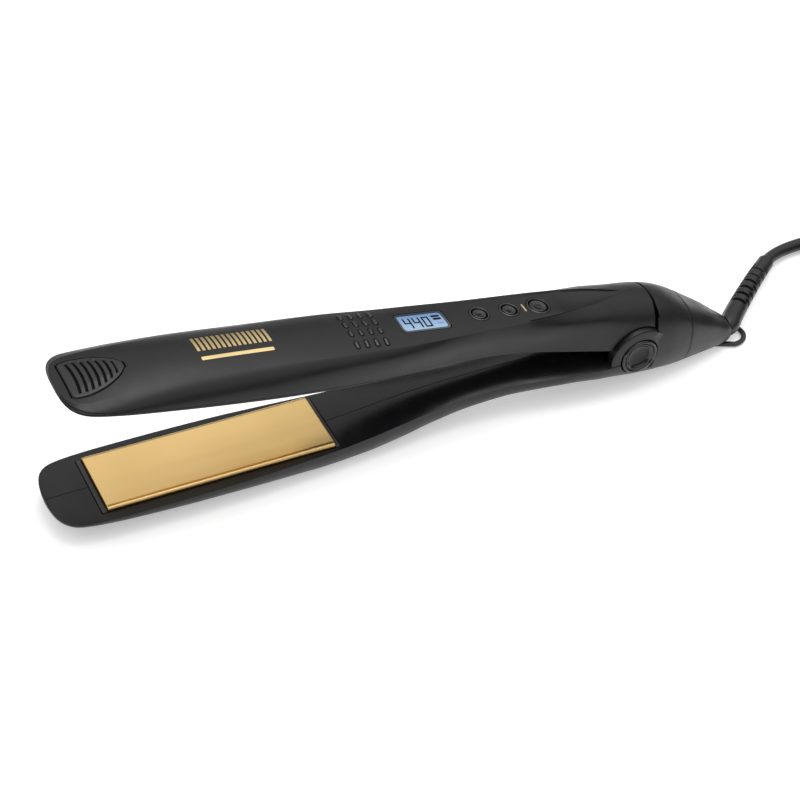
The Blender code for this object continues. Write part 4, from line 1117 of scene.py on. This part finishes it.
def digit_bars(symbol, left):
    """Upright seven-segment figure on the display."""
    thick, top, right = DIGIT_THICK, DIGIT_TOP, left + DIGIT_WIDTH
    middle, bottom = top - DIGIT_HEIGHT / 2, top - DIGIT_HEIGHT
    place = {
        "a": (left, right, top - thick, top), "d": (left, right, bottom, bottom + thick),
        "g": (left, right, middle - thick / 2, middle + thick / 2),
        "f": (left, left + thick, middle, top), "b": (right - thick, right, middle, top),
        "e": (left, left + thick, bottom, middle), "c": (right - thick, right, bottom, middle),
    }
    return [surface_strip(*place[segment], PRINT_LOW, PRINT_HIGH, 0.0, 4, 3) for segment in SEGMENTS[symbol]]


def display():
    """Screen in its rounded window: dark rim, lit panel, temperature figures and a few plain marks."""
    half_x, half_y = SCREEN_HALF

    def window(border, low, high, corner):
        return surface_strip(SCREEN_X - half_x + border, SCREEN_X + half_x - border, border - half_y,
                             half_y - border, low, high, corner, 20, 12)

    rim = combine(window(0.0, -1.8, -0.06, 2.0), window(0.95, -0.9, 1.0, 1.6))
    finished(rim, "display_rim", "upper_arm", DISPLAY_RIM, "screen_lens", sharp=50)
    panel = window(1.0, -0.85, PANEL_TOP, 1.55)
    finished(panel, "display_panel", "upper_arm", display_light(), "screen_module", sharp=50)
    figures = joined([bar for symbol, left in DIGITS for bar in digit_bars(symbol, left)])
    finished(figures, "display_figures", "upper_arm", DISPLAY_INK)
    marks = [surface_strip(start, 148.9, low, low + 1.35, PRINT_LOW, PRINT_HIGH, 0.2, 4, 3)
             for start, low in ((144.9, 2.0), (145.15, 0.1))]
    finished(joined(marks), "display_marks", "upper_arm", DISPLAY_INK)
    faint = surface_strip(145.9, 148.9, -2.6, -1.4, PRINT_LOW, PRINT_HIGH - 0.01, 0.2, 4, 3)
    finished(faint, "display_faint_mark", "upper_arm", DISPLAY_FAINT)


def key_ring(name, radius, normal, top):
    """Raised soft lip round a button."""
    inner, outer = radius + GAP, radius + KEY_RING_WIDTH
    profile = [(inner, -1.8), (outer, -1.8), (outer, -0.06), (outer - 0.05, 0.04), (outer - 0.22, 0.20),
               (outer - 0.45, 0.32), (outer - 0.66, 0.34), (inner + 0.14, 0.26), (inner + 0.03, 0.14),
               (inner, -0.02)]
    ring = turned(top, normal, profile, UPPER, 72, closed=True)
    finished(ring, f"{name}_key_ring", "upper_arm", KEY, f"{name}_ring", sharp=60)


SIGN_LOW, SIGN_HIGH = -0.30, 0.16       # of a button's sign, above its top


def power_arc(top, along, beside, normal):
    """Open ring of the power sign, with its opening at the upper arm's far side."""
    rings, arc_high = [], SIGN_HIGH - 0.02
    for angle in (radians(a) for a in spread(128.0, 412.0, 41)):
        way = along * cos(angle) + beside * sin(angle)
        rings.append([top + way * radius + normal * level for radius, level in
                      ((1.15, SIGN_LOW), (1.55, SIGN_LOW), (1.55, arc_high), (1.15, arc_high))])
    return skin(rings, UPPER)


def key_cap(name, radius, normal, top):
    """Dished button cap with a rounded edge and a raised sign."""
    side = radius - 0.28
    profile = [(0.0, -3.2), (side, -3.2), (side, -0.25), (side - 0.04, -0.05), (side - 0.16, 0.10),
               (side - 0.36, 0.18), (side - 0.62, 0.17), (side - 1.05, 0.02)]
    for k in range(1, 9):
        share = 1 - k / 8
        profile.append(((side - 1.05) * share, 0.02 - 0.22 * (1 - share ** 2)))
    cap = turned(top, normal, profile, UPPER, 72)
    along = Vector((normal.z, 0.0, -normal.x))
    beside = Vector((0.0, 1.0, 0.0))

    def raised(centre, length, width, turn=0.0, height=SIGN_HIGH):
        """One rounded bar of a sign, on the cap; the length runs along the arm at no turn."""
        go = along * cos(turn) + beside * sin(turn)
        off = beside * cos(turn) - along * sin(turn)
        rings = []
        for level, shrink in ((SIGN_LOW, 0.0), (height - 0.06, 0.0), (height, 0.07)):
            ring = []
            for end, start in ((1, -90), (-1, 90)):
                for j in range(7):
                    angle = radians(start + 180.0 * j / 6)
                    half = width / 2 - shrink
                    reach = end * (length - width) / 2 + half * cos(angle)
                    spot = go * reach + off * (half * sin(angle))
                    ring.append(top + along * centre[0] + beside * centre[1] + spot + normal * level)
            rings.append(ring)
        return skin(rings, UPPER)

    if name == "power":
        signs = [raised((0.0, 1.1), 1.5, 0.42, pi / 2), power_arc(top, along, beside, normal)]
    else:
        signs = [raised((0.0, 0.0), 2.4, 0.5)]
        if name == "plus":
            signs.append(raised((0.0, 0.0), 2.4, 0.5, pi / 2, SIGN_HIGH + 0.002))
    finished(cap, f"{name}_key_cap", f"{name}_key", KEY, f"{name}_button", sharp=50)
    finished(joined(signs), f"{name}_key_sign", f"{name}_key", KEY, sharp=40)


def buttons():
    for name, x, radius in BUTTONS:
        normal = top_normal(x)
        top = Vector((x, 0.0, upper_surface(x, 0.0)))
        key_ring(name, radius, normal, top)
        key_cap(name, radius, normal, top)


def grip_bars():
    """Sixteen raised rounded bars across the top, for the fingers."""
    bars = grip_shapes(0.0, -0.45, -0.08, 0.50)
    finished(bars, "grip_bars", "upper_arm", KEY, sharp=60)


def gold_marks():
    """Plain gold decoration: a row of even ticks over a thin line, and a short dash by the power key."""
    low, high, half_tick = -0.1, 0.05, 0.62
    ticks = [surface_strip(x - half_tick, x + half_tick, -1.3, 7.4, low, high, 0.0, 4, 8)
             for x in spread(37.6, 68.6, 15)]
    marks = [("gold_ticks", joined(ticks)),
             ("gold_line", surface_strip(37.0, 68.4, -6.4, -4.6, low, high, 0.5, 24, 4)),
             ("gold_dash", surface_strip(189.35, 190.15, -2.4, 2.4, low, high, 0.2, 4, 8))]
    for name, item in marks:
        finished(item, name, "upper_arm", INLAY, sharp=60)


display()
buttons()
grip_bars()
gold_marks()


def paint_frame():
    """Materials for the CAD pieces that are shown as they are."""
    finishes = [
        (CERAMIC, "lower_heater upper_heater"), (HEAT_PLASTIC, "lower_heater_carrier upper_heater_carrier"),
        (SILICONE, "lower_cushion_front lower_cushion_rear upper_cushion_front upper_cushion_rear"),
        (STEEL, "hinge_pin opening_spring cover_screw_1 cover_screw_2 minus_switch plus_switch power_switch"),
        (NYLON, "hinge_washer_near hinge_washer_far swivel_collar"), (SATIN, "hinge_knuckle"),
        (BOARD, "control_board"), (HANDLE, "upper_inner_cover"),
    ]
    for finish, names in finishes:
        for name in names.split():
            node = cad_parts[name]
            node.data.materials.clear()
            node.data.materials.append(finish)


# ---- setting
def key_light(place, target, side, power):
    data = bpy.data.lights.new("key", "AREA")
    data.shape = "RECTANGLE"
    data.size = data.size_y = side
    data.energy = power
    light = link("key", data)
    light.location = place
    light.rotation_euler = (Vector(target) - Vector(place)).to_track_quat("-Z", "Y").to_euler()


def pale_floor(half, drop):
    """Large floor, a hair below the table height so that it doesn't meet the feet."""
    floor = link("floor", bpy.data.meshes.new("floor"))
    corners = [(-half, -half, 0), (half, -half, 0), (half, half, 0), (-half, half, 0)]
    floor.data.from_pydata(corners, [], [(0, 1, 2, 3)])
    floor.location.z = -drop
    floor.data.materials.append(new_material(
        "floor_pale", (0.78, 0.78, 0.78), 0.9, Emission_Color=(1.0, 1.0, 1.0, 1.0), Emission_Strength=0.36,
        Specular_IOR_Level=0.2))


def studio(strength, stops):
    """World light that depends on height alone: a bright ceiling over darker walls."""
    world = bpy.data.worlds.new("studio")
    bpy.context.scene.world = world
    world.use_nodes = True
    tree = world.node_tree
    split = add_node(tree, "SeparateXYZ", Vector=add_node(tree, "TexCoord").outputs["Generated"])
    ramp = add_node(tree, "ValToRGB", Fac=split.outputs["Z"])
    feed(tree, tree.nodes["Background"], Strength=strength, Color=ramp.outputs["Color"])
    ramp.color_ramp.interpolation = "EASE"
    for place, level in stops[1:-1]:
        ramp.color_ramp.elements.new(place)
    for stop, (place, level) in zip(ramp.color_ramp.elements, stops):
        stop.position = place
        stop.color = (level, level, level, 1.0)


def setting():
    pale_floor(12, 0.0002)
    studio(1.26, [(0.0, 0.10), (0.30, 0.22), (0.62, 0.95), (1.0, 1.0)])
    key_light((0.2, 0.1, 1.4), (0.0, 0.0, 0.03), 0.9, 9.0)
    view = bpy.context.scene.view_settings
    view.view_transform = "Standard"
    view.look = "None"


setting()
paint_frame()
